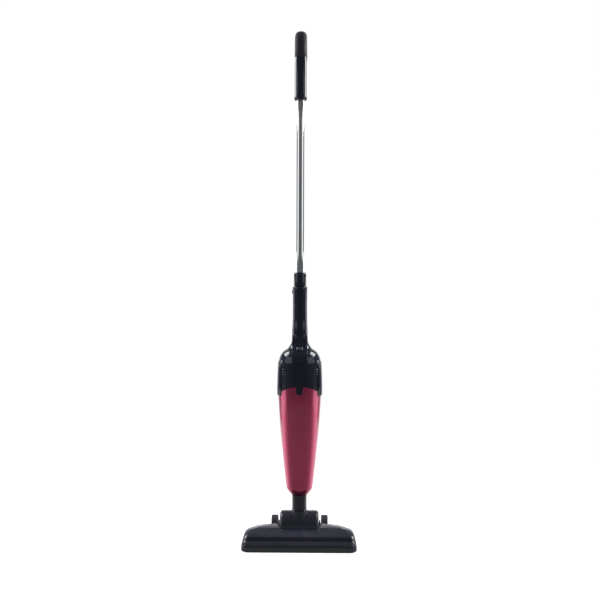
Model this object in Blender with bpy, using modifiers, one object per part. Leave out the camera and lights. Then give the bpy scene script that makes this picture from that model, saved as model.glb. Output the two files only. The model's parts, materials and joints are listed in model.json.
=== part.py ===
"""A corded upright stick vacuum cleaner, as an assembly of separate pieces.

Units are metres, +Z is up and the front faces -Y. Every shape is drawn in the body frame, whose
Z axis is the centre line of wand, motor and cup, with Z = 0 on the floor. The empty "vacuum"
carries that frame to the object's own origin, which is under the middle of its bounding box.
"""

import math

import bmesh
import bpy
from mathutils import Matrix, Vector

# ---- Driving dimensions ----
GAP = 0.0003  # between faces that touch
WALL = 0.0024  # moulded casings
TOTAL_HEIGHT = 1.113
REAR_REACH = 0.1381  # centre line to the tip of the grip

# Floor head
HEAD_WIDTH = 0.2415
HEAD_FRONT = 0.062  # centre line to the front edge
HEAD_REAR = 0.032  # centre line to the rear edge, in the middle
HEAD_REAR_DROP = 0.024  # how much nearer the rear edge is at the ends
PLATE_TOP = 0.0120
CROWN = 0.007  # how much higher the cover is in the middle than at the ends
SLOT_HALF = (0.094, 0.010)  # suction slot, half sizes in X and Y
SLOT_Y = -0.034
BRISTLE_Y = (-0.053, -0.014)

# Tilt joint and wheels
TILT_Y = 0.010
TILT_Z = 0.0435
BARREL_RADIUS = 0.030
BARREL_HALF = 0.0415
BARREL_BOSS_RADIUS = 0.0172
BARREL_BOSS_TOP = 0.0750
ARM_INNER = 0.0422
ARM_OUTER = 0.0452
WHEEL_Y = 0.060
WHEEL_RADIUS = 0.026
WHEEL_INNER = 0.0468
WHEEL_OUTER = 0.0618

# Neck pipe
PIPE_RADIUS = 0.0160
PIPE_TOP = 0.110
SPIGOT_RADIUS = 0.0140
SPIGOT_TOP = 0.138
PIPE_BORE = 0.0118

# Dust cup
CUP_BOTTOM = 0.1105
CUP_KNEE = 0.127  # where the bowl turns into the tapered side
CUP_SHOULDER = 0.325  # where the side reaches full radius
CUP_KNEE_RADIUS = 0.0284
CUP_RADIUS = 0.0460
CUP_FOOT_RADIUS = 0.0172
CUP_FULLNESS = 0.43  # how far the side bows out of a straight cone
CUP_WALL = 0.0022
CUP_LEDGE = 0.314  # the filter's flange rests here
INLET_TOP = 0.205
FLAP_Y = 0.0195
FLAP_Z = 0.2075

# Arched joint between cup and housing
ARCH_TOP = 0.343
ARCH_RISE = 0.018
ARCH_HALF = 0.047

# Motor housing and neck
DOME_SPRING = 0.3875
DOME_TOP = 0.4205
FILLET_TOP = 0.4400
VENT_ROWS = 3
VENT_BOTTOM = 0.3689
VENT_PITCH = 0.0049
VENT_HALF = 0.0007
SOCKET_FLOOR = 0.470
NECK_TOP = 0.553
SOCKET_RADIUS = 0.0119
SPINE_HALF = 0.016
SPINE_RISE = 0.0022
TRIM_RADIUS = 0.0488
TRIM_BOTTOM = 0.323
TRIM_HALF_ANGLE = math.radians(33)
LATCH_PIVOT = (-0.0422, 0.356)
LATCH_FACE = -0.0488
SWITCH_CENTRE = (-0.0311, 0.4220)
SWITCH_SLOPE = math.radians(42.5)
BUTTON_Z = 0.5425
GLAND_Z = 0.4500
HOOK_Z = 0.500

# Motor
FAN_Z = 0.3525
MOTOR_RADIUS = 0.029
MOTOR_BOTTOM = 0.3645
MOTOR_TOP = 0.408
SHAFT_RADIUS = 0.0025

# Wand and handle
TUBE_RADIUS = 0.0085
TUBE_WALL = 0.0009
TUBE_BOTTOM = 0.4865
TUBE_TOP = 1.030
PLUG_RADIUS = 0.0116
PLUG_BOTTOM = 0.4755
COLLAR_RADIUS = 0.0133
COLLAR_TOP = 0.584
SLEEVE_BOTTOM = 0.951
SLEEVE_TOP = 1.044
SLEEVE_HALF = (0.0129, 0.0140)
GRIP_HALF = (0.0131, 0.0132)
GRIP_POWER = 2.4  # how square the grip's section is
CANE_RADIUS = TOTAL_HEIGHT - GRIP_HALF[1] - SLEEVE_TOP
CANE_TURN = math.radians(115)
CANE_STRAIGHT = 0.052
CORE_HALF = (0.0085, 0.0080)
UPPER_HOOK_Z = 0.985

SLOTS = {
    # slot: (colour, roughness, metallic)
    "black_gloss": ((0.012, 0.013, 0.018), 0.12, 0.0),
    "nozzle_plastic": ((0.058, 0.060, 0.072), 0.38, 0.0),
    "base_plastic": ((0.045, 0.045, 0.050), 0.55, 0.0),
    "red_cup": ((0.360, 0.012, 0.045), 0.18, 0.55),
    "inner_plastic": ((0.060, 0.062, 0.066), 0.50, 0.0),
    "switch_grey": ((0.140, 0.142, 0.150), 0.42, 0.0),
    "grip_rubber": ((0.032, 0.030, 0.035), 0.75, 0.0),
    "seal_rubber": ((0.018, 0.018, 0.018), 0.80, 0.0),
    "tyre_rubber": ((0.038, 0.039, 0.043), 0.80, 0.0),
    "chrome": ((0.780, 0.790, 0.800), 0.08, 1.0),
    "steel": ((0.560, 0.560, 0.570), 0.30, 1.0),
    "iron": ((0.120, 0.120, 0.125), 0.45, 1.0),
    "copper": ((0.650, 0.320, 0.150), 0.30, 1.0),
    "bristle": ((0.030, 0.030, 0.034), 0.90, 0.0),
    "filter_fabric": ((0.780, 0.770, 0.730), 0.90, 0.0),
}


# ---- Scene and joints ----
def clear_scene():
    for obj in list(bpy.data.objects):
        bpy.data.objects.remove(obj, do_unlink=True)


def make_collection(name):
    made = bpy.data.collections.new(name)
    bpy.context.scene.collection.children.link(made)
    return made


def make_material(name, colour, roughness, metallic):
    material = bpy.data.materials.new(name)
    material.use_nodes = True
    shader = material.node_tree.nodes["Principled BSDF"]
    shader.inputs["Base Color"].default_value = (*colour, 1.0)
    shader.inputs["Roughness"].default_value = roughness
    shader.inputs["Metallic"].default_value = metallic
    return material


clear_scene()
PARTS = make_collection("upright_vacuum")
CUTTERS = make_collection("cutters")
MATERIALS = {name: make_material(name, *values) for name, values in SLOTS.items()}


def make_empty(name, location, parent):
    empty = bpy.data.objects.new(name, None)
    empty.location = location
    empty.empty_display_size = 0.02
    empty.parent = parent
    PARTS.objects.link(empty)
    return empty


ROOT = make_empty("vacuum", (0, (HEAD_FRONT - REAR_REACH) / 2, 0), None)


def joint(name, place=(0, 0, 0)):
    """An empty on a joint's axis. Pieces that ride on the joint are parented to it."""
    return make_empty(name, place, ROOT)


# ---- Shape tools ----
def place(obj, slot, rider):
    """Put a finished mesh object under its joint's empty, and give it its material."""
    PARTS.objects.link(obj)
    obj.data.materials.append(MATERIALS[slot])
    obj.data.shade_smooth()
    obj.data.set_sharp_from_angle(angle=math.radians(35))
    ride_on(obj, rider)
    return obj


def ride_on(obj, rider):
    obj.parent = rider
    if rider is not ROOT:
        obj.location = obj.location - rider.location


def as_cutter(obj):
    CUTTERS.objects.link(obj)
    obj.hide_render = True
    obj.display_type = "WIRE"
    obj.parent = ROOT
    return obj


def cut(target, cutter, solver="EXACT"):
    modifier = target.modifiers.new("cut " + cutter.name, "BOOLEAN")
    modifier.operation = "DIFFERENCE"
    modifier.solver = solver
    modifier.object = cutter


def join(target, extra):
    modifier = target.modifiers.new("join " + extra.name, "BOOLEAN")
    modifier.operation = "UNION"
    modifier.object = extra


def skin(name, rings):
    """A closed solid through rings of equally many points, its first and last ring capped."""
    count = len(rings[0])
    faces = [tuple(range(count))]
    for ring in range(len(rings) - 1):
        for i in range(count):
            a = ring * count + i
            b = ring * count + (i + 1) % count
            faces.append((a, b, b + count, a + count))
    last = (len(rings) - 1) * count
    faces.append(tuple(range(last, last + count)))
    mesh = bpy.data.meshes.new(name)
    mesh.from_pydata([point for ring in rings for point in ring], [], faces)
    edit = bmesh.new()
    edit.from_mesh(mesh)
    bmesh.ops.recalc_face_normals(edit, faces=edit.faces)
    if edit.calc_volume(signed=True) < 0:
        bmesh.ops.reverse_faces(edit, faces=edit.faces)
    bmesh.ops.triangulate(edit, faces=edit.faces)
    edit.to_mesh(mesh)
    edit.free()
    return bpy.data.objects.new(name, mesh)


def prism(name, outline, axis, low, high):
    """A flat outline drawn in the plane across an axis, pushed from low to high along it."""

    def lift(u, v, w):
        return {"X": (w, u, v), "Y": (u, w, v), "Z": (u, v, w)}[axis]

    return skin(name, [[lift(u, v, w) for u, v in outline] for w in (low, high)])


def box(name, low, high):
    outline = [(low[0], low[1]), (high[0], low[1]), (high[0], high[1]), (low[0], high[1])]
    return prism(name, outline, "Z", low[2], high[2])


def rod(name, radius, start, end, steps=20):
    """A plain cylinder between two points."""
    start, end = Vector(start), Vector(end)
    mesh = bpy.data.meshes.new(name)
    edit = bmesh.new()
    turn = (end - start).to_track_quat("Z", "Y").to_matrix().to_4x4()
    bmesh.ops.create_cone(
        edit,
        cap_ends=True,
        segments=steps,
        radius1=radius,
        radius2=radius,
        depth=(end - start).length,
        matrix=Matrix.Translation((start + end) / 2) @ turn,
    )
    edit.to_mesh(mesh)
    edit.free()
    return bpy.data.objects.new(name, mesh)


def turned(name, profile, steps=32, at=(0, 0, 0), along="Z", closed=False):
    """A profile of (radius, height) points turned round an axis, listed down its outer side."""
    mesh = bpy.data.meshes.new(name)
    links = [(i, i + 1) for i in range(len(profile) - 1)]
    if closed:
        links.append((len(profile) - 1, 0))
    mesh.from_pydata([(radius, 0, height) for radius, height in profile], links, [])
    obj = bpy.data.objects.new(name, mesh)
    obj.location = at
    obj.rotation_euler = {
        "Z": (0, 0, 0),
        "X": (0, math.pi / 2, 0),
        "-X": (0, -math.pi / 2, 0),
        "Y": (-math.pi / 2, 0, 0),
        "-Y": (math.pi / 2, 0, 0),
    }[along]
    screw = obj.modifiers.new("turn", "SCREW")
    screw.steps = steps
    screw.render_steps = steps
    screw.use_merge_vertices = True
    screw.merge_threshold = 0.00001
    screw.use_smooth_shade = True
    return obj


def ring_profile(inner, outer, low, high, edge=0.0):
    """A closed profile for a ring of rectangular section, with its outer edges chamfered."""
    return [
        (outer - edge, high),
        (outer, high - edge),
        (outer, low + edge),
        (outer - edge, low),
        (inner, low),
        (inner, high),
    ] if edge else [(outer, high), (outer, low), (inner, low), (inner, high)]


def ring(name, inner, outer, low, high, edge=0.0, steps=32, at=(0, 0, 0), along="Z"):
    return turned(name, ring_profile(inner, outer, low, high, edge), steps, at, along, True)


def arc(centre, radii, start, end, steps):
    """Points along an ellipse's arc, with the angles in degrees."""
    points = []
    for i in range(steps + 1):
        angle = math.radians(start + (end - start) * i / steps)
        u = centre[0] + radii[0] * math.cos(angle)
        v = centre[1] + radii[1] * math.sin(angle)
        points.append((u, v))
    return points


def oval(half_u, half_v, count, power=2.0):
    """A superellipse round the origin."""
    points = []
    for i in range(count):
        angle = 2 * math.pi * i / count
        c, s = math.cos(angle), math.sin(angle)
        u = half_u * math.copysign(abs(c) ** (2 / power), c)
        v = half_v * math.copysign(abs(s) ** (2 / power), s)
        points.append((u, v))
    return points


def lerp(a, b, t):
    return a + (b - a) * t


def along_stations(stations, z):
    """Straight interpolation in a list of (z, value) stations."""
    for (z0, v0), (z1, v1) in zip(stations, stations[1:]):
        if z <= z1:
            return lerp(v0, v1, (z - z0) / (z1 - z0))
    return stations[-1][1]


# ---- Outlines shared by several pieces ----
NECK_STATIONS = [
    (FILLET_TOP, 0.0172),
    (0.461, 0.0166),
    (0.480, 0.0156),
    (0.515, 0.0153),
    (NECK_TOP, 0.01595),
]


def housing_half(z):
    """Half width of the motor housing and neck at a height."""
    if z <= DOME_SPRING:
        return CUP_RADIUS - 0.0003 * (z - CUP_SHOULDER) / (DOME_SPRING - CUP_SHOULDER)
    if z <= DOME_TOP:
        rise = (z - DOME_SPRING) / 0.034
        return 0.022 + 0.0237 * math.sqrt(1 - rise * rise)
    if z <= FILLET_TOP:
        left = (FILLET_TOP - z) / (FILLET_TOP - DOME_TOP)
        return 0.0172 + 0.0105 * left * left
    return along_stations(NECK_STATIONS, z)


def cup_radius(z):
    """Outer radius of the dust cup at a height."""
    if z >= CUP_SHOULDER:
        return CUP_RADIUS
    if z >= CUP_KNEE:
        t = (z - CUP_KNEE) / (CUP_SHOULDER - CUP_KNEE)
        return lerp(CUP_KNEE_RADIUS, CUP_RADIUS, t + CUP_FULLNESS * t * (1 - t))
    drop = (CUP_KNEE - z) / (CUP_KNEE - CUP_BOTTOM)
    return CUP_FOOT_RADIUS + (CUP_KNEE_RADIUS - CUP_FOOT_RADIUS) * max(0.0, 1 - drop**1.6)


def arch_height(x, lift=0.0):
    """Height of the arched joint between cup and housing."""
    radius = (ARCH_HALF**2 + ARCH_RISE**2) / (2 * ARCH_RISE)
    return ARCH_TOP - radius + math.sqrt(radius * radius - x * x) + lift


def arch_points(lift, steps=20):
    reach = 0.056
    xs = [reach * (2 * i / steps - 1) for i in range(steps + 1)]
    return [(x, arch_height(x, lift)) for x in xs]


def head_outline(inset_front, inset_side, inset_rear, corner=0.014, rear_steps=10):
    """Plan of the floor head: straight front, rounded corners, bowed rear edge."""
    half = HEAD_WIDTH / 2 - inset_side
    front = -HEAD_FRONT + inset_front
    turn = max(0.003, corner - inset_side / 2)
    points = arc((-half + turn, front + turn), (turn, turn), 180, 270, 3)
    points += arc((half - turn, front + turn), (turn, turn), 270, 360, 3)
    rear_end = HEAD_REAR - HEAD_REAR_DROP - inset_rear
    points += arc((half - turn, rear_end - turn), (turn, turn), 0, 75, 2)
    reach = half - turn
    for i in range(1, rear_steps):
        x = reach * (1 - 2 * i / rear_steps)
        share = (x / (HEAD_WIDTH / 2)) ** 2
        points.append((x, HEAD_REAR - HEAD_REAR_DROP * share - inset_rear))
    points += arc((-half + turn, rear_end - turn), (turn, turn), 105, 180, 2)
    return points


def crowned(outline, z, share):
    """Lift an outline to a height, lower towards the ends by a share of the crown."""
    half = HEAD_WIDTH / 2
    return [(x, y, z - CROWN * share * (x / half) ** 2) for x, y in outline]


def cane_path(end_trim=0.0, steps=8):
    """Centre line of the handle: up the sleeve, round the bend, then straight down and back."""
    points = [(0.0, SLEEVE_TOP, 0.0)]
    for i in range(1, steps + 1):
        angle = CANE_TURN * i / steps
        y = CANE_RADIUS * (1 - math.cos(angle))
        points.append((y, SLEEVE_TOP + CANE_RADIUS * math.sin(angle), angle))
    y, z, angle = points[-1]
    length = CANE_STRAIGHT - end_trim
    for share in (0.5, 1.0):
        reach = length * share
        points.append((y + reach * math.sin(angle), z + reach * math.cos(angle), angle))
    return points


def cane_ring(y, z, angle, half, count, power=2.0):
    """An oval across the cane. The angle is how far the centre line has turned from upright."""
    ring_points = []
    for u, v in oval(half[0], half[1], count, power):
        ring_points.append((u, y + v * math.cos(angle), z - v * math.sin(angle)))
    return ring_points


def mirrored(name, side):
    return name + ("_left" if side < 0 else "_right")


# ---- Floor head ----
def base_plate():
    rings = [
        [(x, y, 0) for x, y in head_outline(0.0030, 0.0045, 0.0015)],
        [(x, y, 0.0012) for x, y in head_outline(0.0010, 0.0015, 0.0005)],
        [(x, y, 0.0030) for x, y in head_outline(0, 0, 0)],
        [(x, y, PLATE_TOP - GAP) for x, y in head_outline(0, 0, 0)],
    ]
    plate = place(skin("base_plate", rings), "base_plastic", ROOT)
    slot_low = (-SLOT_HALF[0], SLOT_Y - SLOT_HALF[1], -0.01)
    slot_high = (SLOT_HALF[0], SLOT_Y + SLOT_HALF[1], 0.02)
    cut(plate, as_cutter(box("suction_slot", slot_low, slot_high)))
    for i, y in enumerate(BRISTLE_Y):
        low, high = (-0.0985, y - 0.0033, -0.01), (0.0985, y + 0.0033, 0.0050)
        cut(plate, as_cutter(box(f"bristle_groove_{i}", low, high)))
    for side in (-1, 1):
        x, y = side * 0.075, 0.004
        sink = rod(mirrored("screw_sink", side), 0.0040, (x, y, -0.01), (x, y, 0.0035))
        cut(plate, as_cutter(sink))
        way = rod(mirrored("screw_way", side), 0.0018, (x, y, -0.01), (x, y, 0.02))
        cut(plate, as_cutter(way))
    for side in (-1, 1):
        recess = plug_rod(mirrored("plug_recess", side), 0.0027, side, -0.0016, 0.004)
        cut(plate, as_cutter(recess), "MANIFOLD")


def bristle_strips():
    for name, y in zip(("front_brush_strip", "rear_lint_strip"), BRISTLE_Y):
        strip = box(name, (-0.098, y - 0.0030, 0.0003), (0.098, y + 0.0030, 0.0047))
        place(strip, "bristle", ROOT)


def cover_rings(shrink=0.0, every=1):
    """The cover's skin from its foot up: lip, leaning face, glossy step, crowned top."""
    stations = [
        # z, front inset, side inset, rear inset, share of the crown
        (PLATE_TOP, 0.0, 0.0, 0.0, 0.0),
        (0.0150, 0.0004, 0.0006, 0.0, 0.0),
        (0.0215, 0.0060, 0.0020, 0.0004, 0.0),
        (0.0228, 0.0090, 0.0024, 0.0008, 0.05),
        (0.0292, 0.0135, 0.0036, 0.0020, 0.25),
        (0.0345, 0.0200, 0.0050, 0.0030, 0.45),
        (0.0400, 0.0320, 0.0085, 0.0060, 0.65),
        (0.0435, 0.0400, 0.0150, 0.0090, 0.80),
        (0.0455, 0.0440, 0.0300, 0.0120, 1.0),
    ]
    rings = []
    for z, front, side, rear, share in stations[::every]:
        outline = head_outline(front + shrink, side + shrink, rear + shrink)
        rings.append(crowned(outline, z - shrink, share))
    return rings


def arm_outline():
    """Side view of the arm from the cover up to the tilt pin and back to the axle."""
    points = [(-0.022, 0.0138), (0.052, 0.0138)]
    points += arc((WHEEL_Y, WHEEL_RADIUS), (0.0095, 0.0095), -100, 75, 8)
    points += arc((TILT_Y, TILT_Z), (0.0090, 0.0090), 60, 160, 6)
    points.append((-0.022, 0.0350))
    return points


def nozzle_cover():
    cover = place(skin("nozzle_cover", cover_rings()), "nozzle_plastic", ROOT)
    cut(cover, as_cutter(skin("cover_hollow", cover_rings(WALL, 2))))
    for side in (-1, 1):
        x, y = side * 0.075, 0.004
        post = rod(mirrored("screw_post", side), 0.0042, (x, y, PLATE_TOP), (x, y, 0.0415))
        join(cover, as_cutter(post))
        cut(cover, as_cutter(rod(mirrored("post_hole", side), 0.0015, (x, y, 0), (x, y, 0.0240))))
        low, high = sorted((side * ARM_INNER, side * ARM_OUTER))
        join(cover, as_cutter(prism(mirrored("arm", side), arm_outline(), "X", low, high)))
        for name, radius, (py, pz) in (
            ("tilt_hole", 0.0043, (TILT_Y, TILT_Z)),
            ("axle_hole", 0.0028, (WHEEL_Y, WHEEL_RADIUS)),
        ):
            ends = (side * 0.040, py, pz), (side * 0.050, py, pz)
            cut(cover, as_cutter(rod(mirrored(name, side), radius, *ends)))
    cradle = BARREL_HALF + 0.0004
    swept = rod(
        "barrel_cradle",
        BARREL_RADIUS + 0.0005,
        (-cradle, TILT_Y, TILT_Z),
        (cradle, TILT_Y, TILT_Z),
        48,
    )
    cut(cover, as_cutter(swept))


def plug_rod(name, radius, side, depth_in, depth_out):
    """A round plug across the front corner, at 45 degrees to the front face."""
    turn = 0.014
    corner = Vector((side * (HEAD_WIDTH / 2 - turn), -HEAD_FRONT + turn, 0.0085))
    out = Vector((side * math.sqrt(0.5), -math.sqrt(0.5), 0))
    surface = corner + out * (turn - 0.0004)
    return rod(name, radius, surface + out * depth_in, surface + out * depth_out, 13)


def corner_plugs():
    for side in (-1, 1):
        plug = plug_rod(mirrored("corner_plug", side), 0.0024, side, -0.0013, 0.0005)
        place(plug, "inner_plastic", ROOT)


def screw_profile(head, head_height, shank, length):
    """A pan-head screw standing on its point, its head on top."""
    return [
        (0, head_height),
        (head * 0.6, head_height),
        (head, head_height * 0.55),
        (head, 0),
        (shank, 0),
        (shank, -length + shank),
        (0, -length),
    ]


def driver_recess(name, at, direction, reach=0.0014):
    """A cross of two bars that cuts the driver recess into a screw's head."""
    direction = Vector(direction)
    turn = direction.to_track_quat("Z", "Y").to_matrix().to_4x4()
    bars = []
    for i, (u, v) in enumerate(((0.0018, 0.00035), (0.00035, 0.0018))):
        bar = box(f"{name}_bar_{i}", (-u, -v, -reach / 2), (u, v, reach))
        bar.data.transform(Matrix.Translation(at) @ turn)
        bars.append(as_cutter(bar))
    return bars


def screw(name, at, along, direction, head=0.0033, shank=0.0012, length=0.011, rider=None):
    """A screw whose head faces the direction. The place is the underside of its head."""
    made = turned(name, screw_profile(head, 0.0020, shank, length), 8, at, along)
    place(made, "steel", rider or ROOT)
    top = Vector(at) + Vector(direction) * 0.0020
    for bar in driver_recess(name + "_recess", top, direction):
        cut(made, bar)


def base_screws():
    for side in (-1, 1):
        name = mirrored("base_screw", side)
        body = turned(name, screw_profile(0.0033, 0.0020, 0.0012, 0.018), 8)
        body.location = (side * 0.075, 0.004, 0.0032)
        body.rotation_euler = (math.pi, 0, 0)
        place(body, "steel", ROOT)
        for bar in driver_recess(name + "_recess", (side * 0.075, 0.004, 0.0012), (0, 0, -1)):
            cut(body, bar)


def pins_and_axles():
    for side in (-1, 1):
        inner, outer = side * 0.0365, side * (ARM_OUTER + 0.0003)
        ends = (inner, TILT_Y, TILT_Z), (outer, TILT_Y, TILT_Z)
        place(rod(mirrored("pivot_pin", side), 0.0040, *ends), "inner_plastic", ROOT)
        inner, outer = side * (ARM_INNER - 0.0002), side * (WHEEL_OUTER - 0.0022)
        ends = (inner, WHEEL_Y, WHEEL_RADIUS), (outer, WHEEL_Y, WHEEL_RADIUS)
        place(rod(mirrored("wheel_axle", side), 0.0025, *ends), "steel", ROOT)


def wheels():
    width = WHEEL_OUTER - WHEEL_INNER
    for side in (-1, 1):
        axle = joint(mirrored("wheel_joint", side), (side * WHEEL_INNER, WHEEL_Y, WHEEL_RADIUS))
        hub = [
            (0.0060, width - 0.0005),
            (0.0145, width - 0.0005),
            (0.0165, width - 0.0020),
            (0.0165, 0.0020),
            (0.0150, 0.0008),
            (0.0028, 0.0008),
            (0.0028, width - 0.0030),
            (0.0060, width - 0.0030),
        ]
        at = (side * WHEEL_INNER, WHEEL_Y, WHEEL_RADIUS)
        along = "X" if side > 0 else "-X"
        place(turned(mirrored("wheel_hub", side), hub, 16, at, along, True), "inner_plastic", axle)
        tyre = [
            (0.0168, width - 0.0010),
            (WHEEL_RADIUS - 0.0022, width - 0.0002),
            (WHEEL_RADIUS, width - 0.0024),
            (WHEEL_RADIUS, 0.0024),
            (WHEEL_RADIUS - 0.0022, 0.0002),
            (0.0168, 0.0010),
        ]
        place(turned(mirrored("tyre", side), tyre, 28, at, along, True), "tyre_rubber", axle)


# ---- Neck: swivel barrel and pipe ----
def swivel_barrel(rider):
    half, radius = BARREL_HALF, BARREL_RADIUS
    outside = [(0, half), (radius - 0.007, half)]
    outside += arc((radius - 0.007, half - 0.007), (0.007, 0.007), 70, 0, 3)
    outside += [(u, -v) for u, v in reversed(outside[1:])]
    outside.append((0, -half))
    centre = (0, TILT_Y, TILT_Z)
    barrel = place(turned("swivel_barrel", outside, 20, centre, "X"), "nozzle_plastic", rider)
    boss_ends = (0, 0, TILT_Z), (0, 0, BARREL_BOSS_TOP)
    join(barrel, as_cutter(rod("pipe_boss", BARREL_BOSS_RADIUS, *boss_ends, 32)))
    inner = [(0, half - 0.003), (radius - 0.008, half - 0.003), (radius - WALL, half - 0.009)]
    inner += [(u, -v) for u, v in reversed(inner[1:])]
    inner.append((0, -half + 0.003))
    cut(barrel, as_cutter(turned("barrel_hollow", inner, 20, centre, "X")))
    cut(barrel, as_cutter(rod("barrel_top_hole", 0.0146, (0, 0, 0.045), (0, 0, 0.080), 32)))
    mouth = box("barrel_mouth", (-0.030, TILT_Y - 0.010, 0.005), (0.030, TILT_Y + 0.020, 0.030))
    cut(barrel, as_cutter(mouth))
    for side in (-1, 1):
        ends = (side * 0.030, TILT_Y, TILT_Z), (side * 0.050, TILT_Y, TILT_Z)
        cut(barrel, as_cutter(rod(mirrored("trunnion_hole", side), 0.0043, *ends)))


def neck_pipe(rider):
    """A flared pipe standing on the barrel's boss, with a spigot up into the cup and one down."""
    foot = BARREL_BOSS_TOP + GAP
    flare = [
        (SPIGOT_RADIUS - 0.0006, SPIGOT_TOP),
        (SPIGOT_RADIUS, SPIGOT_TOP - 0.0015),
        (SPIGOT_RADIUS, PIPE_TOP),
        (PIPE_RADIUS - 0.0006, PIPE_TOP),
        (PIPE_RADIUS, PIPE_TOP - 0.0008),
        (0.0157, 0.100),
        (0.0157, 0.084),
        (0.0160, 0.0795),
        (0.0166, foot),
        (PIPE_BORE, foot),
        (PIPE_BORE, SPIGOT_TOP),
    ]
    pipe = place(turned("neck_pipe", flare, 20, closed=True), "black_gloss", rider)
    tail = ring("pipe_tail", PIPE_BORE, SPIGOT_RADIUS, 0.0600, 0.0800, steps=20)
    join(pipe, as_cutter(tail))
    inner, outer = SPIGOT_RADIUS - 0.0010, SPIGOT_RADIUS + 0.002
    cut(pipe, as_cutter(ring("seal_groove", inner, outer, 0.1290, 0.1315, steps=20)))
    inner, outer = SPIGOT_RADIUS - 0.0007, SPIGOT_RADIUS + GAP
    seal = ring("pipe_seal", inner, outer, 0.1293, 0.1312, steps=20)
    place(seal, "seal_rubber", rider)


# ---- Dust cup and filter ----
def cup_outer_heights():
    drop = CUP_KNEE - CUP_BOTTOM
    bowl = [CUP_KNEE - drop * math.sin(math.radians(a)) for a in range(0, 81, 20)]
    side = [lerp(CUP_SHOULDER, CUP_KNEE, i / 5) for i in range(5)]
    return side + bowl


def cup_shell(rider):
    outside = [(CUP_RADIUS, ARCH_TOP + 0.005)]
    outside += [(cup_radius(z), z) for z in cup_outer_heights()]
    outside.append((CUP_FOOT_RADIUS, CUP_BOTTOM))
    inside = [(CUP_FOOT_RADIUS, CUP_BOTTOM + CUP_WALL)]
    for z in reversed(cup_outer_heights()):
        if CUP_BOTTOM + 0.006 < z < CUP_LEDGE - 0.010:
            inside.append((cup_radius(z) - CUP_WALL, z + 0.0004))
    inside += [
        (cup_radius(0.305) - CUP_WALL, 0.305),
        (0.0408, CUP_LEDGE - 0.004),
        (0.0408, CUP_LEDGE),
        (CUP_RADIUS - CUP_WALL, CUP_LEDGE),
        (CUP_RADIUS - CUP_WALL, ARCH_TOP + 0.005),
    ]
    shell = place(turned("cup_shell", outside + inside, 24, closed=True), "red_cup", rider)
    above = arch_points(0.0) + [(0.056, 0.370), (-0.056, 0.370)]
    cut(shell, as_cutter(prism("cup_arch", above, "Y", -0.06, 0.06)))


def inlet_tube(rider):
    profile = [
        (0.0164, INLET_TOP),
        (0.0164, CUP_BOTTOM + 0.0075),
        (0.0185, CUP_BOTTOM + 0.0070),
        (0.0185, CUP_BOTTOM + 0.0045),
        (0.0164, CUP_BOTTOM + 0.0040),
        (0.0164, CUP_BOTTOM + 0.0003),
        (0.0146, CUP_BOTTOM + 0.0003),
        (0.0146, 0.1395),
        (0.0130, 0.1410),
        (0.0130, INLET_TOP),
    ]
    tube = place(turned("inlet_tube", profile, 20, closed=True), "inner_plastic", rider)
    for side in (-1, 1):
        low = (min(side * 0.0050, side * 0.0075), 0.0150, 0.1950)
        high = (max(side * 0.0050, side * 0.0075), FLAP_Y + 0.0025, FLAP_Z + 0.0022)
        lug = box(mirrored("flap_lug", side), low, high)
        join(tube, as_cutter(lug))
    pin_hole = rod("flap_pin_hole", 0.0012, (-0.02, FLAP_Y, FLAP_Z), (0.02, FLAP_Y, FLAP_Z), 12)
    cut(tube, as_cutter(pin_hole))
    pin = rod("flap_pin", 0.0009, (-0.0085, FLAP_Y, FLAP_Z), (0.0085, FLAP_Y, FLAP_Z), 12)
    place(pin, "steel", rider)


def inlet_flap(rider):
    top = INLET_TOP + GAP
    flap = rod("inlet_flap", 0.0148, (0, 0, top), (0, 0, top + 0.0012), 28)
    ear = box("flap_ear", (-0.0046, 0.010, top), (0.0046, FLAP_Y, top + 0.0012))
    knuckle = rod("flap_knuckle", 0.0019, (-0.0046, FLAP_Y, FLAP_Z), (0.0046, FLAP_Y, FLAP_Z), 16)
    hole = rod("flap_bore", 0.0012, (-0.02, FLAP_Y, FLAP_Z), (0.02, FLAP_Y, FLAP_Z), 12)
    place(flap, "seal_rubber", rider)
    join(flap, as_cutter(ear))
    join(flap, as_cutter(knuckle))
    cut(flap, as_cutter(hole))


def filter_unit(rider):
    """Pleated filter hung in the cup by a flange that rests on the cup's inner ledge."""
    flange_low, flange_high = CUP_LEDGE + GAP, CUP_LEDGE + 0.0033
    cage_low = 0.2560
    frame = [
        (0.0430, flange_high),
        (0.0430, flange_low),
        (0.0350, flange_low),
        (0.0350, 0.3085),
        (0.0330, 0.3085),
        (0.0330, flange_high),
    ]
    body = place(turned("filter_frame", frame, 20, closed=True), "inner_plastic", rider)
    floor = rod("filter_floor", 0.0350, (0, 0, cage_low), (0, 0, cage_low + 0.0025), 20)
    join(body, as_cutter(floor))
    for i in range(6):
        angle = math.radians(60 * i + 30)
        low, high = (0.0332, -0.0012, cage_low + 0.001), (0.0349, 0.0012, 0.3095)
        rib = box(f"filter_rib_{i}", low, high)
        rib.data.transform(Matrix.Rotation(angle, 4, "Z"))
        join(body, as_cutter(rib))
    pleats = 16
    outline = []
    for i in range(2 * pleats):
        angle = math.pi * i / pleats
        radius = 0.0320 if i % 2 == 0 else 0.0235
        outline.append((radius * math.cos(angle), radius * math.sin(angle)))
    low, high = cage_low + 0.0028, flange_high - 0.0004
    media = place(prism("filter_pleats", outline, "Z", low, high), "filter_fabric", rider)
    inner = [(u * 0.93, v * 0.93) for u, v in outline]
    cut(media, as_cutter(prism("pleat_hollow", inner, "Z", low - 0.01, high + 0.01)))


# ---- Motor unit ----
def housing_heights():
    dome = [DOME_SPRING + 0.033 * math.sin(math.radians(a)) for a in (0, 20, 38, 54, 72)]
    fillet = [lerp(DOME_TOP, FILLET_TOP, i / 3) for i in range(4)]
    neck = [0.461, 0.480, 0.515, NECK_TOP]
    return [0.318] + dome + fillet + neck


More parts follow.
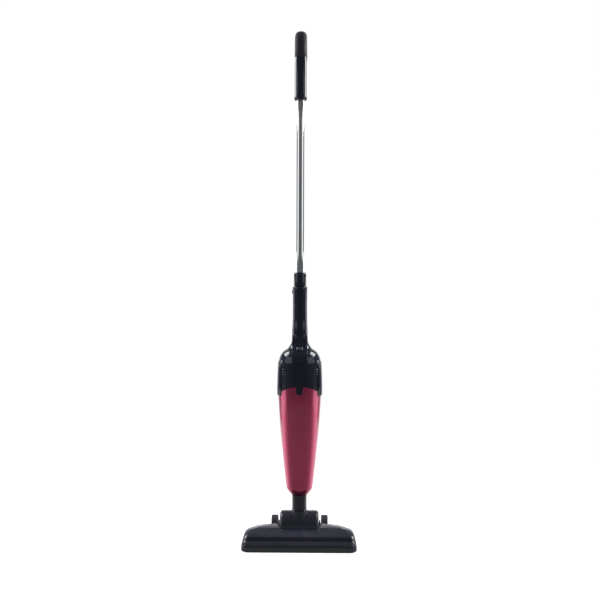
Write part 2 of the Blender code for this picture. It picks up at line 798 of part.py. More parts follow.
def housing_rings(inset, heights, count=24):
    rings = []
    for z in heights:
        half = housing_half(max(z, CUP_SHOULDER)) - inset
        deep = half + 0.0010 * min(1.0, max(0.0, (z - DOME_TOP) / 0.030))
        rings.append([(u, v, z) for u, v in oval(half, deep, count)])
    return rings


def spine_block():
    """The raised band that runs from the neck down over the front of the dome."""
    heights = [0.3905, 0.3965, 0.4025, 0.4085, 0.4145, DOME_TOP, 0.4265, 0.4335, FILLET_TOP, 0.4505]
    front = [(-housing_half(z) - SPINE_RISE, z) for z in heights]
    foot, head = heights[0] - 0.002, heights[-1] + 0.004
    front[0] = (-housing_half(heights[0]) + 0.001, foot)
    front[-1] = (-housing_half(heights[-1]) + 0.0002, head)
    outline = front + [(-0.006, head), (-0.006, foot)]
    block = prism("spine", outline, "X", -SPINE_HALF, SPINE_HALF)
    bevel = block.modifiers.new("round", "BEVEL")
    bevel.width = 0.0012
    bevel.segments = 1
    bevel.limit_method = "ANGLE"
    bevel.angle_limit = math.radians(50)
    return as_cutter(block)


def hollow_cutters():
    """The motor room, the neck's duct and the wand socket, which both halves share."""
    room = [0.300] + [z for z in housing_heights() if DOME_SPRING <= z <= FILLET_TOP] + [0.4580]
    cutters = [as_cutter(skin("motor_room", housing_rings(WALL, room, 20)))]
    socket = rod("wand_socket", SOCKET_RADIUS, (0, 0, SOCKET_FLOOR), (0, 0, NECK_TOP + 0.01), 22)
    cutters.append(as_cutter(socket))
    below = arch_points(0.00035) + [(0.056, 0.290), (-0.056, 0.290)]
    cutters.append(as_cutter(prism("housing_arch", below, "Y", -0.06, 0.06)))
    button = [(v, u + BUTTON_Z) for u, v in oval(0.0042, 0.0033, 12)]
    cutters.append(as_cutter(prism("button_window", button, "X", -0.030, -0.005)))
    return cutters


def vent_cutters(sign):
    """Slots for one half. The rear ones sit half a pitch higher, so nothing shows through."""
    cutters = []
    for row in range(VENT_ROWS):
        z = VENT_BOTTOM + VENT_PITCH * (row + (0.5 if sign > 0 else 0.0))
        for side in (-1, 1):
            left, right = sorted((side * 0.0310, side * 0.0395))
            near, far = sorted((sign * 0.012, sign * 0.060))
            slot = box(
                mirrored(f"vent_{row}", side),
                (left, near, z - VENT_HALF),
                (right, far, z + VENT_HALF),
            )
            cutters.append(as_cutter(slot))
    return cutters


SCREW_SPOTS = {"upper": (0.0, 0.4642), "left": (-0.0376, 0.3985), "right": (0.0376, 0.3985)}


def boss(name, x, z, sign, end):
    low, high = sorted((sign * 0.0006, sign * end))
    return as_cutter(rod(name, 0.0030, (x, low, z), (x, high, z), 16))


def housings(rider):
    shared = hollow_cutters()
    for name, sign in (("front_housing", -1), ("rear_housing", 1)):
        half = place(skin(name, housing_rings(0.0, housing_heights())), "black_gloss", rider)
        if sign < 0:
            join(half, spine_block())
        low, high = sorted((-sign * 0.07, sign * GAP / 2))
        away = box(name + "_split", (-0.07, low, 0.28), (0.07, high, 0.60))
        cut(half, as_cutter(away))
        for cutter in shared + vent_cutters(sign):
            cut(half, cutter)
        for spot, (x, z) in SCREW_SPOTS.items():
            join(half, boss(f"{name}_boss_{spot}", x, z, sign, 0.0150 if x == 0 else 0.0130))
        for spot, (x, z) in SCREW_SPOTS.items():
            if sign < 0:
                hole = rod(f"front_pilot_{spot}", 0.0014, (x, -0.011, z), (x, 0.01, z), 12)
                cut(half, as_cutter(hole))
            else:
                seat = 0.0105
                through = rod(f"rear_way_{spot}", 0.0016, (x, -0.01, z), (x, 0.05, z), 12)
                sink = rod(f"rear_sink_{spot}", 0.0037, (x, seat, z), (x, 0.05, z), 16)
                cut(half, as_cutter(through))
                cut(half, as_cutter(sink))
        if sign < 0:
            latch_seat(half)
            switch_seat(half)
        else:
            bush = rod("gland_hole", 0.0054, (0, 0.008, GLAND_Z), (0, 0.040, GLAND_Z), 20)
            cut(half, as_cutter(bush))


def latch_seat(front):
    """Window for the latch, and the two lugs that hold its pin."""
    pivot_y, pivot_z = LATCH_PIVOT
    window = latch_outline(0.0004)
    cut(front, as_cutter(prism("latch_window", window, "Y", -0.060, -0.036)))
    lug = [
        (0.0058, pivot_y - 0.0014),
        (0.0085, pivot_y - 0.0014),
        (0.0085, pivot_y + 0.0010),
        (0.0117, pivot_y + 0.0010),
        (0.0117, pivot_y - 0.0010),
        (0.0140, pivot_y - 0.0010),
        (0.0140, pivot_y + 0.0030),
        (0.0058, pivot_y + 0.0030),
    ]
    for side in (-1, 1):
        outline = [(side * x, y) for x, y in lug]
        block = prism(mirrored("latch_lug", side), outline, "Z", pivot_z - 0.0030, pivot_z + 0.0030)
        join(front, as_cutter(block))
    hole = rod("latch_pin_hole", 0.0013, (-0.0160, pivot_y, pivot_z), (0.0160, pivot_y, pivot_z), 14)
    cut(front, as_cutter(hole))


def switch_frame():
    """Centre, upward slope and outward normal of the power switch."""
    centre = Vector((0, *SWITCH_CENTRE))
    slope = Vector((0, math.cos(SWITCH_SLOPE), math.sin(SWITCH_SLOPE)))
    outward = Vector((0, -math.sin(SWITCH_SLOPE), math.cos(SWITCH_SLOPE)))
    return centre, slope, outward


def sloped_box(name, low, high):
    """A box whose Y runs up the spine's slope and whose Z points out of it."""
    centre, slope, outward = switch_frame()
    made = box(name, low, high)
    turn = Matrix((Vector((1, 0, 0)), slope, outward)).transposed().to_4x4()
    made.data.transform(Matrix.Translation(centre) @ turn)
    return made


def switch_seat(front):
    low, high = (-0.0070, -0.0055, -0.012), (0.0070, 0.0105, 0.012)
    cut(front, as_cutter(sloped_box("switch_slot", low, high)))


def power_switch(rider, housing_rider):
    thumb = sloped_box("power_switch", (-0.0067, -0.0052, -0.0030), (0.0067, 0.0050, 0.0028))
    place(thumb, "switch_grey", rider)
    bevel = thumb.modifiers.new("round", "BEVEL")
    bevel.width = 0.0014
    bevel.segments = 2
    module = sloped_box("switch_module", (-0.0080, -0.0050, -0.0132), (0.0080, 0.0080, -0.0080))
    place(module, "inner_plastic", housing_rider)


TRIM_FACE = [
    # radius and height up the outer face
    (TRIM_RADIUS - 0.0004, TRIM_BOTTOM),
    (TRIM_RADIUS, TRIM_BOTTOM + 0.016),
    (TRIM_RADIUS - 0.0007, 0.3640),
    (TRIM_RADIUS - 0.0016, 0.3830),
    (TRIM_RADIUS - 0.0025, 0.3940),
]


def side_trims(rider):
    seat = [(CUP_RADIUS + GAP, TRIM_BOTTOM)]
    for z in (DOME_SPRING, 0.3940):
        seat.append((housing_half(z) + 2 * GAP, z))
    for side in (-1, 1):
        rings = []
        for i in range(13):
            angle = lerp(-TRIM_HALF_ANGLE, TRIM_HALF_ANGLE, i / 12)
            edge = 0.0008 if i in (0, 12) else 0.0
            section = [(r - edge, z) for r, z in TRIM_FACE] + seat[::-1]
            c, s = side * math.cos(angle), math.sin(angle)
            rings.append([(r * c, r * s, z) for r, z in section])
        place(skin(mirrored("side_trim", side), rings), "black_gloss", rider)


def latch_outline(grow=0.0):
    """Front view of the latch: an oval button over a round-ended tongue."""
    half_tongue = 0.0070 + grow
    points = arc((0, 0.3635), (0.0105 + grow, 0.0180 + grow), -48, 228, 16)
    points += [(-half_tongue, 0.3440), (-half_tongue, 0.3325)]
    points += arc((0, 0.3325), (half_tongue, 0.0065 + grow), 190, 350, 6)
    points += [(half_tongue, 0.3325), (half_tongue, 0.3440)]
    return points


def cup_latch(rider):
    pivot_y, pivot_z = LATCH_PIVOT
    latch = prism("cup_latch", latch_outline(), "Y", LATCH_FACE, LATCH_FACE + 0.0023)
    place(latch, "black_gloss", rider)
    core = arc((0, 0.3635), (0.0100, 0.0175), -35, 215, 12)
    join(latch, as_cutter(prism("latch_core", core, "Y", LATCH_FACE + 0.0016, LATCH_FACE + 0.0044)))
    low = (-0.0030, pivot_y - 0.0030, pivot_z - 0.0026)
    high = (0.0030, pivot_y + 0.0026, pivot_z + 0.0026)
    join(latch, as_cutter(box("latch_ear", low, high)))
    hole = rod("latch_bore", 0.0013, (-0.02, pivot_y, pivot_z), (0.02, pivot_y, pivot_z), 14)
    cut(latch, as_cutter(hole))


def latch_pin_and_spring(rider):
    pivot_y, pivot_z = LATCH_PIVOT
    pin = rod("latch_pin", 0.0010, (-0.0125, pivot_y, pivot_z), (0.0125, pivot_y, pivot_z), 14)
    place(pin, "steel", rider)
    curve = bpy.data.curves.new("latch_spring", "CURVE")
    curve.dimensions = "3D"
    curve.bevel_depth = 0.00025
    curve.bevel_resolution = 0
    curve.use_fill_caps = True
    turns, per_turn = 3, 6
    points = []
    for i in range(turns * per_turn + 1):
        angle = 2 * math.pi * i / per_turn
        x = 0.0034 + 0.0020 * i / (turns * per_turn)
        points.append((x, pivot_y + 0.0018 * math.cos(angle), pivot_z + 0.0018 * math.sin(angle)))
    spline = curve.splines.new("POLY")
    spline.points.add(len(points) - 1)
    for point, position in zip(spline.points, points):
        point.co = (*position, 1)
    spring = bpy.data.objects.new("latch_spring", curve)
    PARTS.objects.link(spring)
    curve.materials.append(MATERIALS["steel"])
    ride_on(spring, rider)


def wand_button(rider):
    head = [(v, u + BUTTON_Z) for u, v in oval(0.0038, 0.0029, 12)]
    button = prism("wand_release_button", head, "X", -0.0168, -0.0127)
    place(button, "black_gloss", rider)
    bevel = button.modifiers.new("round", "BEVEL")
    bevel.width = 0.0008
    bevel.segments = 1


def motor_plate(rider):
    """Floor of the motor room: a disc with an intake grille and a skirt down into the cup."""
    profile = [
        (0.0425, 0.3470),
        (0.0425, 0.3220),
        (0.0409, 0.3220),
        (0.0409, 0.3445),
        (0.0, 0.3445),
    ]
    plate = place(turned("motor_plate", [(0, 0.3470)] + profile, 24), "inner_plastic", rider)
    cut(plate, as_cutter(rod("intake_middle", 0.0040, (0, 0, 0.33), (0, 0, 0.36), 8)))
    for circle, (radius, count) in enumerate(((0.0100, 6), (0.0190, 9))):
        for i in range(count):
            angle = 2 * math.pi * i / count + 0.13
            x, y = radius * math.cos(angle), radius * math.sin(angle)
            hole = rod(f"intake_{circle}_{i}", 0.0030, (x, y, 0.33), (x, y, 0.36), 6)
            cut(plate, as_cutter(hole))
    seal = ring("cup_seal", 0.0388, 0.0425, CUP_LEDGE + 0.0037, 0.3217, 0.0, 24)
    place(seal, "seal_rubber", rider)


def motor(rider):
    gasket = ring("motor_gasket", 0.0280, 0.0330, 0.3473, 0.3497, steps=20)
    place(gasket, "seal_rubber", rider)
    shroud = [
        (MOTOR_RADIUS - 0.001, 0.3642),
        (0.0345, 0.3625),
        (0.0350, 0.3610),
        (0.0350, 0.3500),
        (0.0150, 0.3500),
        (0.0150, 0.3512),
        (0.0335, 0.3512),
        (0.0335, 0.3605),
        (0.0250, 0.3612),
        (0.0250, 0.3642),
    ]
    place(turned("fan_shroud", shroud, 22, closed=True), "inner_plastic", rider)
    can = [
        (0.0040, MOTOR_TOP),
        (MOTOR_RADIUS - 0.0030, MOTOR_TOP),
        (MOTOR_RADIUS, MOTOR_TOP - 0.0030),
        (MOTOR_RADIUS, MOTOR_BOTTOM),
        (MOTOR_RADIUS - 0.0014, MOTOR_BOTTOM),
        (MOTOR_RADIUS - 0.0014, MOTOR_TOP - 0.0036),
        (MOTOR_RADIUS - 0.0034, MOTOR_TOP - 0.0016),
        (0.0040, MOTOR_TOP - 0.0016),
    ]
    body = place(turned("motor_can", can, 20, closed=True), "steel", rider)
    for i in range(8):
        angle = 2 * math.pi * (i + 0.5) / 8
        low, high = (0.0220, -0.0035, 0.3980), (0.0320, 0.0035, 0.4040)
        vent = box(f"can_vent_{i}", low, high)
        vent.data.transform(Matrix.Rotation(angle, 4, "Z"))
        cut(body, as_cutter(vent))
    place(ring("stator", 0.0195, 0.0272, 0.3700, 0.3900, steps=20), "iron", rider)
    place(ring("lower_bearing", 0.0028, 0.0065, 0.3640, 0.3690, 0.0, 14), "steel", rider)
    place(ring("upper_bearing", 0.0028, 0.0065, 0.4085, 0.4125, 0.0, 14), "steel", rider)
    for side in (-1, 1):
        low = (min(side * 0.0084, side * 0.0180), -0.0025, 0.3965)
        high = (max(side * 0.0084, side * 0.0180), 0.0025, 0.4015)
        place(box(mirrored("carbon_brush", side), low, high), "iron", rider)


def rotor(rider):
    """Shaft, wound armature with its commutator, and the fan's impeller."""
    shaft = rod("rotor_shaft", SHAFT_RADIUS, (0, 0, FAN_Z - 0.0005), (0, 0, 0.4140), 16)
    place(shaft, "steel", rider)
    wound = [
        (0.0028, 0.4030),
        (0.0080, 0.4030),
        (0.0080, 0.3940),
        (0.0120, 0.3930),
        (0.0190, 0.3900),
        (0.0190, 0.3700),
        (0.0120, 0.3695),
        (0.0028, 0.3695),
    ]
    place(turned("armature", wound, 16, closed=True), "copper", rider)
    disc = [
        (0.0028, FAN_Z + 0.0080),
        (0.0060, FAN_Z + 0.0080),
        (0.0325, FAN_Z + 0.0076),
        (0.0325, FAN_Z + 0.0066),
        (0.0060, FAN_Z + 0.0062),
        (0.0060, FAN_Z),
        (0.0028, FAN_Z),
    ]
    fan = place(turned("impeller", disc, 16, closed=True), "inner_plastic", rider)
    blades, bend = 7, math.radians(38)
    for i in range(blades):
        rings = []
        for j in range(4):
            share = j / 3
            radius = lerp(0.0050, 0.0318, share)
            angle = 2 * math.pi * i / blades + bend * share
            across = Vector((-math.sin(angle), math.cos(angle), 0)) * 0.0005
            middle = Vector((radius * math.cos(angle), radius * math.sin(angle), 0))
            low, high = FAN_Z + 0.0006 + 0.0006 * share, FAN_Z + 0.0070
            corners = [middle - across, middle + across]
            lower = [(*corner.xy, low) for corner in corners]
            upper = [(*corner.xy, high) for corner in reversed(corners)]
            rings.append(lower + upper)
        join(fan, as_cutter(skin(f"blade_{i}", rings)))


def cord_gland(rider):
    bush = [
        (0.0030, 0.0080),
        (0.0040, 0.0080),
        (0.0049, 0.0010),
        (0.0060, 0.0010),
        (0.0060, 0.0),
        (0.0049, -0.0005),
        (0.0049, -0.0065),
        (0.0030, -0.0065),
    ]
    rear = housing_half(GLAND_Z) + 0.0016
    place(turned("cord_gland", bush, 10, (0, rear, GLAND_Z), "Y", True), "seal_rubber", rider)


def hook_outline(reach, tip):
    """Side view of a cord hook that leaves the back of the body and turns to its tip."""
    thick = 0.0045
    up = math.copysign(1, tip)
    return [
        (0.0, up * thick / 2),
        (0.0, -up * thick / 2),
        (reach - 0.002, -up * thick / 2),
        (reach, -up * (thick / 2 - 0.002)),
        (reach, tip),
        (reach - thick * 0.7, tip),
        (reach - thick, up * thick / 2),
    ]


def hook(name, y, z, reach, tip, rider):
    outline = [(y + u, z + v) for u, v in hook_outline(reach, tip)]
    made = prism(name, outline, "X", -0.0045, 0.0045)
    place(made, "black_gloss", rider)
    return made


def neck_hook(rider):
    hook("lower_cord_hook", housing_half(HOOK_Z) + 0.0014, HOOK_Z, 0.024, -0.020, rider)


# ---- Wand and handle ----
def wand(rider):
    tube = ring("wand_tube", TUBE_RADIUS - TUBE_WALL, TUBE_RADIUS, TUBE_BOTTOM, TUBE_TOP, steps=24)
    place(tube, "chrome", rider)
    bore = TUBE_RADIUS + GAP
    profile = [
        (COLLAR_RADIUS - 0.0022, COLLAR_TOP),
        (COLLAR_RADIUS - 0.0004, COLLAR_TOP - 0.0014),
        (COLLAR_RADIUS, COLLAR_TOP - 0.0040),
        (COLLAR_RADIUS, NECK_TOP + 0.0010),
        (COLLAR_RADIUS - 0.0003, NECK_TOP + GAP),
        (PLUG_RADIUS, NECK_TOP + GAP),
        (PLUG_RADIUS, PLUG_BOTTOM + 0.001),
        (PLUG_RADIUS - 0.001, PLUG_BOTTOM),
        (0.0068, PLUG_BOTTOM),
        (0.0068, TUBE_BOTTOM - 0.0005),
        (bore, TUBE_BOTTOM - 0.0005),
        (bore, COLLAR_TOP),
    ]
    ferrule = place(turned("wand_ferrule", profile, 22, closed=True), "black_gloss", rider)
    keyway = box("ferrule_keyway", (-0.0150, -0.0035, 0.4700), (-0.0102, 0.0035, NECK_TOP))
    cut(ferrule, as_cutter(keyway))


def sleeve_rings():
    stations = [
        (SLEEVE_BOTTOM, -0.0012),
        (SLEEVE_BOTTOM + 0.0012, 0.0007),
        (SLEEVE_BOTTOM + 0.0070, 0.0009),
        (SLEEVE_BOTTOM + 0.0085, 0.0),
        (0.9900, 0.0),
        (SLEEVE_TOP - 0.0015, 0.0),
        (SLEEVE_TOP - GAP, -0.0010),
    ]
    rings = []
    for z, grow in stations:
        outline = oval(SLEEVE_HALF[0] + grow, SLEEVE_HALF[1] + grow, 20, 2.3)
        rings.append([(u, v, z) for u, v in outline])
    return rings


def handle(rider):
    """The moulded body with its curved core, and the rubber grip over the core."""
    body = place(skin("handle_body", sleeve_rings()), "black_gloss", rider)
    core_rings = [[(u, v, SLEEVE_TOP - 0.010) for u, v in oval(*CORE_HALF, 10)]]
    core_rings += [cane_ring(*point, CORE_HALF, 10) for point in cane_path(0.008)]
    join(body, as_cutter(skin("handle_core", core_rings)))
    bore = rod("handle_bore", TUBE_RADIUS + GAP, (0, 0, 0.940), (0, 0, TUBE_TOP + GAP), 20)
    cut(body, as_cutter(bore))
    stem = rod("hook_stem_hole", 0.0024, (0, 0.0094, UPPER_HOOK_Z), (0, 0.020, UPPER_HOOK_Z), 16)
    cut(body, as_cutter(stem))
    screw_hole = rod("handle_screw_hole", 0.0016, (0, 0.0095, 0.9650), (0, 0.020, 0.9650), 12)
    cut(body, as_cutter(screw_hole))
    screw_sink = rod("handle_screw_sink", 0.0030, (0, 0.0125, 0.9650), (0, 0.020, 0.9650), 16)
    cut(body, as_cutter(screw_sink))
    head = screw_profile(0.0027, 0.0014, 0.0012, 0.0024)
    place(turned("handle_screw", head, 8, (0, 0.0127, 0.9650), "Y"), "steel", rider)

    path = cane_path()
    grip_rings = [cane_ring(*point, GRIP_HALF, 16, GRIP_POWER) for point in path]
    y, z, angle = path[-1]
    for reach, share in ((0.0045, 0.93), (0.0080, 0.76), (0.0100, 0.45)):
        half = (GRIP_HALF[0] * share, GRIP_HALF[1] * share)
        point = (y + reach * math.sin(angle), z + reach * math.cos(angle), angle)
        grip_rings.append(cane_ring(*point, half, 16, GRIP_POWER))
    grip = place(skin("handle_grip", grip_rings), "grip_rubber", rider)
    half = (CORE_HALF[0] + GAP, CORE_HALF[1] + GAP)
    bore_rings = [[(u, v, SLEEVE_TOP - 0.010) for u, v in oval(*half, 10)]]
    bore_rings += [cane_ring(*point, half, 10) for point in cane_path(0.0076)]
    cut(grip, as_cutter(skin("grip_bore", bore_rings)))


def upper_hook(rider):
    made = hook("upper_cord_hook", SLEEVE_HALF[1] + 0.0004, UPPER_HOOK_Z, 0.024, 0.024, rider)
    start = (0, 0.0098, UPPER_HOOK_Z)
    stem = rod("upper_hook_stem", 0.0021, start, (0, 0.0165, UPPER_HOOK_Z), 16)
    join(made, as_cutter(stem))


# ---- Assembly ----
def build():
    base_plate()
    bristle_strips()
    nozzle_cover()
    corner_plugs()
    base_screws()
    pins_and_axles()
    wheels()

    neck = joint("neck_joint", (0, TILT_Y, TILT_Z))
    swivel_barrel(neck)
    neck_pipe(neck)

    cup = joint("dust_cup_joint")
    cup_shell(cup)
    inlet_tube(cup)
    inlet_flap(joint("inlet_flap_joint", (0, FLAP_Y, FLAP_Z)))
    filter_unit(joint("filter_joint"))

    unit = joint("motor_unit_joint")
    housings(unit)
    side_trims(unit)
    motor_plate(unit)
    motor(unit)
    latch_pin_and_spring(unit)
    cord_gland(unit)
    neck_hook(unit)
    rotor(joint("rotor_joint"))
    cup_latch(joint("cup_latch_joint", (0, *LATCH_PIVOT)))
    power_switch(joint("power_switch_joint"), unit)
    wand_button(joint("wand_button_joint"))
    for spot, (x, z) in SCREW_SPOTS.items():
        screw(f"housing_screw_{spot}", (x, 0.0108, z), "Y", (0, 1, 0), rider=unit)

    stick = joint("wand_joint")
    wand(stick)
    handle(stick)
    upper_hook(joint("upper_hook_joint", (0, 0, UPPER_HOOK_Z)))


build()
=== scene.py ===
"""The looks of an upright stick vacuum cleaner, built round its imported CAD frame.

Units are metres. Every shape is drawn in the body frame, whose Z axis is the centre line of wand,
motor and cup, with Z = 0 on the floor and the front facing -Y, and is then moved to CENTRE_Y.
"""

import json
import math

import bmesh
import bpy
from mathutils import Matrix, Vector

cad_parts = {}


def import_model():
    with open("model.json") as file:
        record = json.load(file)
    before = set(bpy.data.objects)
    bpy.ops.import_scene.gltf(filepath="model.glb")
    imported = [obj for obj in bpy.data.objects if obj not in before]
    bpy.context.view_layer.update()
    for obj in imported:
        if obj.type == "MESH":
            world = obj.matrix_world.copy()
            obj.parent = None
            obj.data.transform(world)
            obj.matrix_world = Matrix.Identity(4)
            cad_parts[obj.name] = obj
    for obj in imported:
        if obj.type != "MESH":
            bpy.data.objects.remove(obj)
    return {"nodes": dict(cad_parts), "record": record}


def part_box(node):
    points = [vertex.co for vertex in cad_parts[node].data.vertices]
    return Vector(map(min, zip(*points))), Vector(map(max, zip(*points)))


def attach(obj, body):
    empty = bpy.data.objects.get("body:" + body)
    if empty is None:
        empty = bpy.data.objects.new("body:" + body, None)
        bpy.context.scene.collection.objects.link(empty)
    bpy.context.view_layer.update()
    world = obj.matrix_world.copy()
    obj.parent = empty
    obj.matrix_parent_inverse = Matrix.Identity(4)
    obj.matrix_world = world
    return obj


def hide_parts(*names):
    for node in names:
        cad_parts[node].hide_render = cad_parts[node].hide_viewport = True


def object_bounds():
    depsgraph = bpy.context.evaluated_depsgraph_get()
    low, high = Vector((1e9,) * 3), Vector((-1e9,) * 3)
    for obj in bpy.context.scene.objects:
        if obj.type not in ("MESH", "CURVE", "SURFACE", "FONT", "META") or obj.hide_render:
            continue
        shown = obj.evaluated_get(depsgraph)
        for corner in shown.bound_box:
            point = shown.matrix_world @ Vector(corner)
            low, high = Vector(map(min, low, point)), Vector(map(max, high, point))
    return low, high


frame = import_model()
CAD_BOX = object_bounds()
TUBE_LOW, TUBE_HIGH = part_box("wand_tube")
CENTRE_Y = (TUBE_LOW.y + TUBE_HIGH.y) / 2
SCENE = bpy.context.scene

# ---- Dimensions. Most are the CAD model's, and some are only for the looks ----
GAP = 0.0003
WALL = 0.0024
TOTAL_HEIGHT = CAD_BOX[1][2]

HEAD_WIDTH = CAD_BOX[1][0] - CAD_BOX[0][0]
HEAD_FRONT = 0.062
HEAD_REAR = 0.032
HEAD_REAR_DROP = 0.024
HEAD_CORNER = 0.014
PLATE_TOP = 0.0120
CROWN = 0.007
GLOSS_BAND = (0.0218, 0.0290)
SLOT_HALF = (0.094, 0.010)
SLOT_Y = -0.034
BRISTLE_Y = (-0.053, -0.014)
BASE_SCREW = (0.075, 0.004)
PLUG_Z = 0.0085
STRIP_HALF = (0.098, 0.0028)
TUFT_LOW = 0.0003
STRIP_TOP = 0.0047

TILT_Y = 0.010
TILT_Z = 0.0435
BARREL_RADIUS = 0.030
BARREL_HALF = 0.0415
BARREL_EDGE = 0.007
BARREL_BOSS_RADIUS = 0.0172
BARREL_BOSS_TOP = 0.0750
ARM_INNER = 0.0422
ARM_OUTER = 0.0452
PIN_RADIUS = 0.0040
PIN_HOLE = 0.0043
AXLE_HOLE = 0.0028
WHEEL_Y = 0.060
WHEEL_RADIUS = 0.026
WHEEL_INNER = 0.0468
WHEEL_OUTER = 0.0618

PIPE_RADIUS = 0.0160
PIPE_TOP = 0.110
SPIGOT_RADIUS = 0.0140
SPIGOT_TOP = 0.138
PIPE_BORE = 0.0118

CUP_BOTTOM = 0.1105
CUP_KNEE = 0.127
CUP_SHOULDER = 0.325
CUP_KNEE_RADIUS = 0.0284
CUP_RADIUS = 0.0460
CUP_FOOT_RADIUS = 0.0172
CUP_FULLNESS = 0.43
CUP_WALL = 0.0022
CUP_LEDGE = 0.314
CUP_LEDGE_RADIUS = 0.0408

ARCH_TOP = 0.343
ARCH_RISE = 0.018
ARCH_HALF = 0.047
ARCH_REACH = 0.056

DOME_SPRING = 0.3875
DOME_TOP = 0.4205
DOME_INNER = 0.022
DOME_SPREAD = 0.0237
DOME_HEIGHT = 0.034
HOUSING_TAPER = 0.0003
FILLET_TOP = 0.4400
FILLET_HALF = 0.0172
FILLET_FLARE = 0.0105
VENT_ROWS = 3
VENT_BOTTOM = 0.3689
VENT_PITCH = 0.0049
VENT_HALF = 0.0007
VENT_X = 0.03525
SOCKET_FLOOR = 0.470
NECK_TOP = 0.553
NECK_STATIONS = [
    (FILLET_TOP, FILLET_HALF),
    (0.461, 0.0166),
    (0.480, 0.0156),
    (0.515, 0.0153),
    (NECK_TOP, 0.01595),
]
SOCKET_RADIUS = 0.0119
SPINE_HALF = 0.016
SPINE_RISE = 0.0022
SPINE_FOOT = 0.3885
SPINE_HEAD = 0.4545
TRIM_RADIUS = 0.0488
TRIM_BOTTOM = 0.323
TRIM_HALF_ANGLE = math.radians(33)
LATCH_PIVOT = (-0.0422, 0.356)
LATCH_FACE = -0.0488
LATCH_OVAL_Z = 0.3635
LATCH_OVAL = (0.0105, 0.0180)
LATCH_CORE = (0.0100, 0.0175)
TONGUE_HALF = 0.0070
TONGUE_TOP = 0.3440
TONGUE_TIP = 0.3325
SWITCH_CENTRE = (-0.0311, 0.4220)
SWITCH_SLOPE = math.radians(42.5)
SWITCH_HALF = (0.0067, 0.0051)
BUTTON_Z = 0.5425
BUTTON_HALF = (0.0038, 0.0029)
BUTTON_ROOM = 0.0004
GLAND_Z = 0.4500
HOOK_Z = 0.500
SCREW_SPOTS = [(0.0, 0.4642), (-0.0376, 0.3985), (0.0376, 0.3985)]

TUBE_RADIUS = 0.0085
TUBE_WALL = 0.0009
TUBE_BOTTOM = 0.4865
TUBE_TOP = 1.030
PLUG_RADIUS = 0.0116
PLUG_BOTTOM = 0.4755
COLLAR_RADIUS = 0.0133
COLLAR_TOP = 0.584
SLEEVE_BOTTOM = 0.951
SLEEVE_TOP = 1.044
SLEEVE_HALF = (0.0129, 0.0140)
GRIP_HALF = (0.0131, 0.0132)
GRIP_POWER = 2.4
CANE_RADIUS = TOTAL_HEIGHT - GRIP_HALF[1] - SLEEVE_TOP
CANE_TURN = math.radians(115)
CANE_STRAIGHT = 0.052
CORE_HALF = (0.0085, 0.0080)
HANDLE_SCREW_Z = 0.9650
UPPER_HOOK_Z = 0.985
HOOK_REACH = 0.024
HOOK_HALF = 0.0045

ROUND = 112  # steps round a large turned piece
TREAD_STEPS = 180
PIECE_SHARP = math.radians(32)  # edges that turn further stay sharp
NODE_SHARP = math.radians(35)

# ---- Studio ----
ROOM_LEVEL = 0.13
BACKDROP_LEVEL = 1.3
FLOOR_GLOW = 1.05  # as the camera sees it
FLOOR_FRONT = 0.26  # as the object mirrors it, in front of itself and behind
FLOOR_BACK = 1.05
STUDIO_LIGHTS = [
    # name, degrees from the camera's side, distance, height, (width, height), radiance
    ("shoulder_box", 112, 1.50, 1.62, (0.95, 0.75), 9.0),
    ("tube_box", 68, 1.50, 0.95, (1.20, 0.86), 0.95),
    ("cup_strip", 98, 1.40, 0.10, (1.05, 0.20), 1.6),
    ("neck_strip", 118, 1.60, 0.50, (0.45, 0.26), 3.0),
]


# ---- Mesh helpers ----
def mesh_object(name, points, faces):
    """A closed mesh from points and faces, its normals pointing out."""
    mesh = bpy.data.meshes.new(name)
    mesh.from_pydata(points, [], faces)
    edit = bmesh.new()
    edit.from_mesh(mesh)
    bmesh.ops.remove_doubles(edit, verts=edit.verts, dist=1e-7)
    many_sided = [face for face in edit.faces if len(face.verts) > 4]
    bmesh.ops.triangulate(edit, faces=many_sided)
    bmesh.ops.recalc_face_normals(edit, faces=edit.faces)
    if edit.calc_volume(signed=True) < 0:
        bmesh.ops.reverse_faces(edit, faces=edit.faces)
    edit.to_mesh(mesh)
    edit.free()
    obj = bpy.data.objects.new(name, mesh)
    SCENE.collection.objects.link(obj)
    return obj


def loft(name, rings, closed=False):
    """A skin through rings of equally many points, capped at both ends unless it closes."""
    count = len(rings[0])
    total = len(rings)
    faces = []
    for ring in range(total if closed else total - 1):
        low, high = ring * count, (ring + 1) % total * count
        for i in range(count):
            j = (i + 1) % count
            faces.append((low + i, low + j, high + j, high + i))
    if not closed:
        faces.append(tuple(range(count)))
        faces.append(tuple(range((total - 1) * count, total * count)))
    return mesh_object(name, [point for ring in rings for point in ring], faces)


AXIS_TURNS = {
    "Z": (0, "X"),
    "X": (90, "Y"),
    "-X": (-90, "Y"),
    "Y": (-90, "X"),
}


def turned(name, profile, steps=ROUND, at=(0, 0, 0), along="Z", closed=True):
    """A profile of (radius, height) points turned round an axis."""
    rings = []
    for radius, height in profile:
        ring = []
        for i in range(steps):
            angle = 2 * math.pi * i / steps
            ring.append((radius * math.cos(angle), radius * math.sin(angle), height))
        rings.append(ring)
    made = loft(name, rings, closed)
    degrees, axis = AXIS_TURNS[along]
    turn = Matrix.Rotation(math.radians(degrees), 4, axis)
    made.data.transform(Matrix.Translation(at) @ turn)
    return made


def rounded(profile, radius, steps):
    """The closed profile with each corner turned into a curve that starts a radius before it."""
    result = []
    count = len(profile)
    for i, point in enumerate(profile):
        here = Vector(point)
        before, after = Vector(profile[i - 1]) - here, Vector(profile[(i + 1) % count]) - here
        start = here + before * min(0.45, radius / before.length)
        end = here + after * min(0.45, radius / after.length)
        for step in range(steps + 1):
            share = step / steps
            result.append(tuple(start.lerp(here, share).lerp(here.lerp(end, share), share)))
    return result


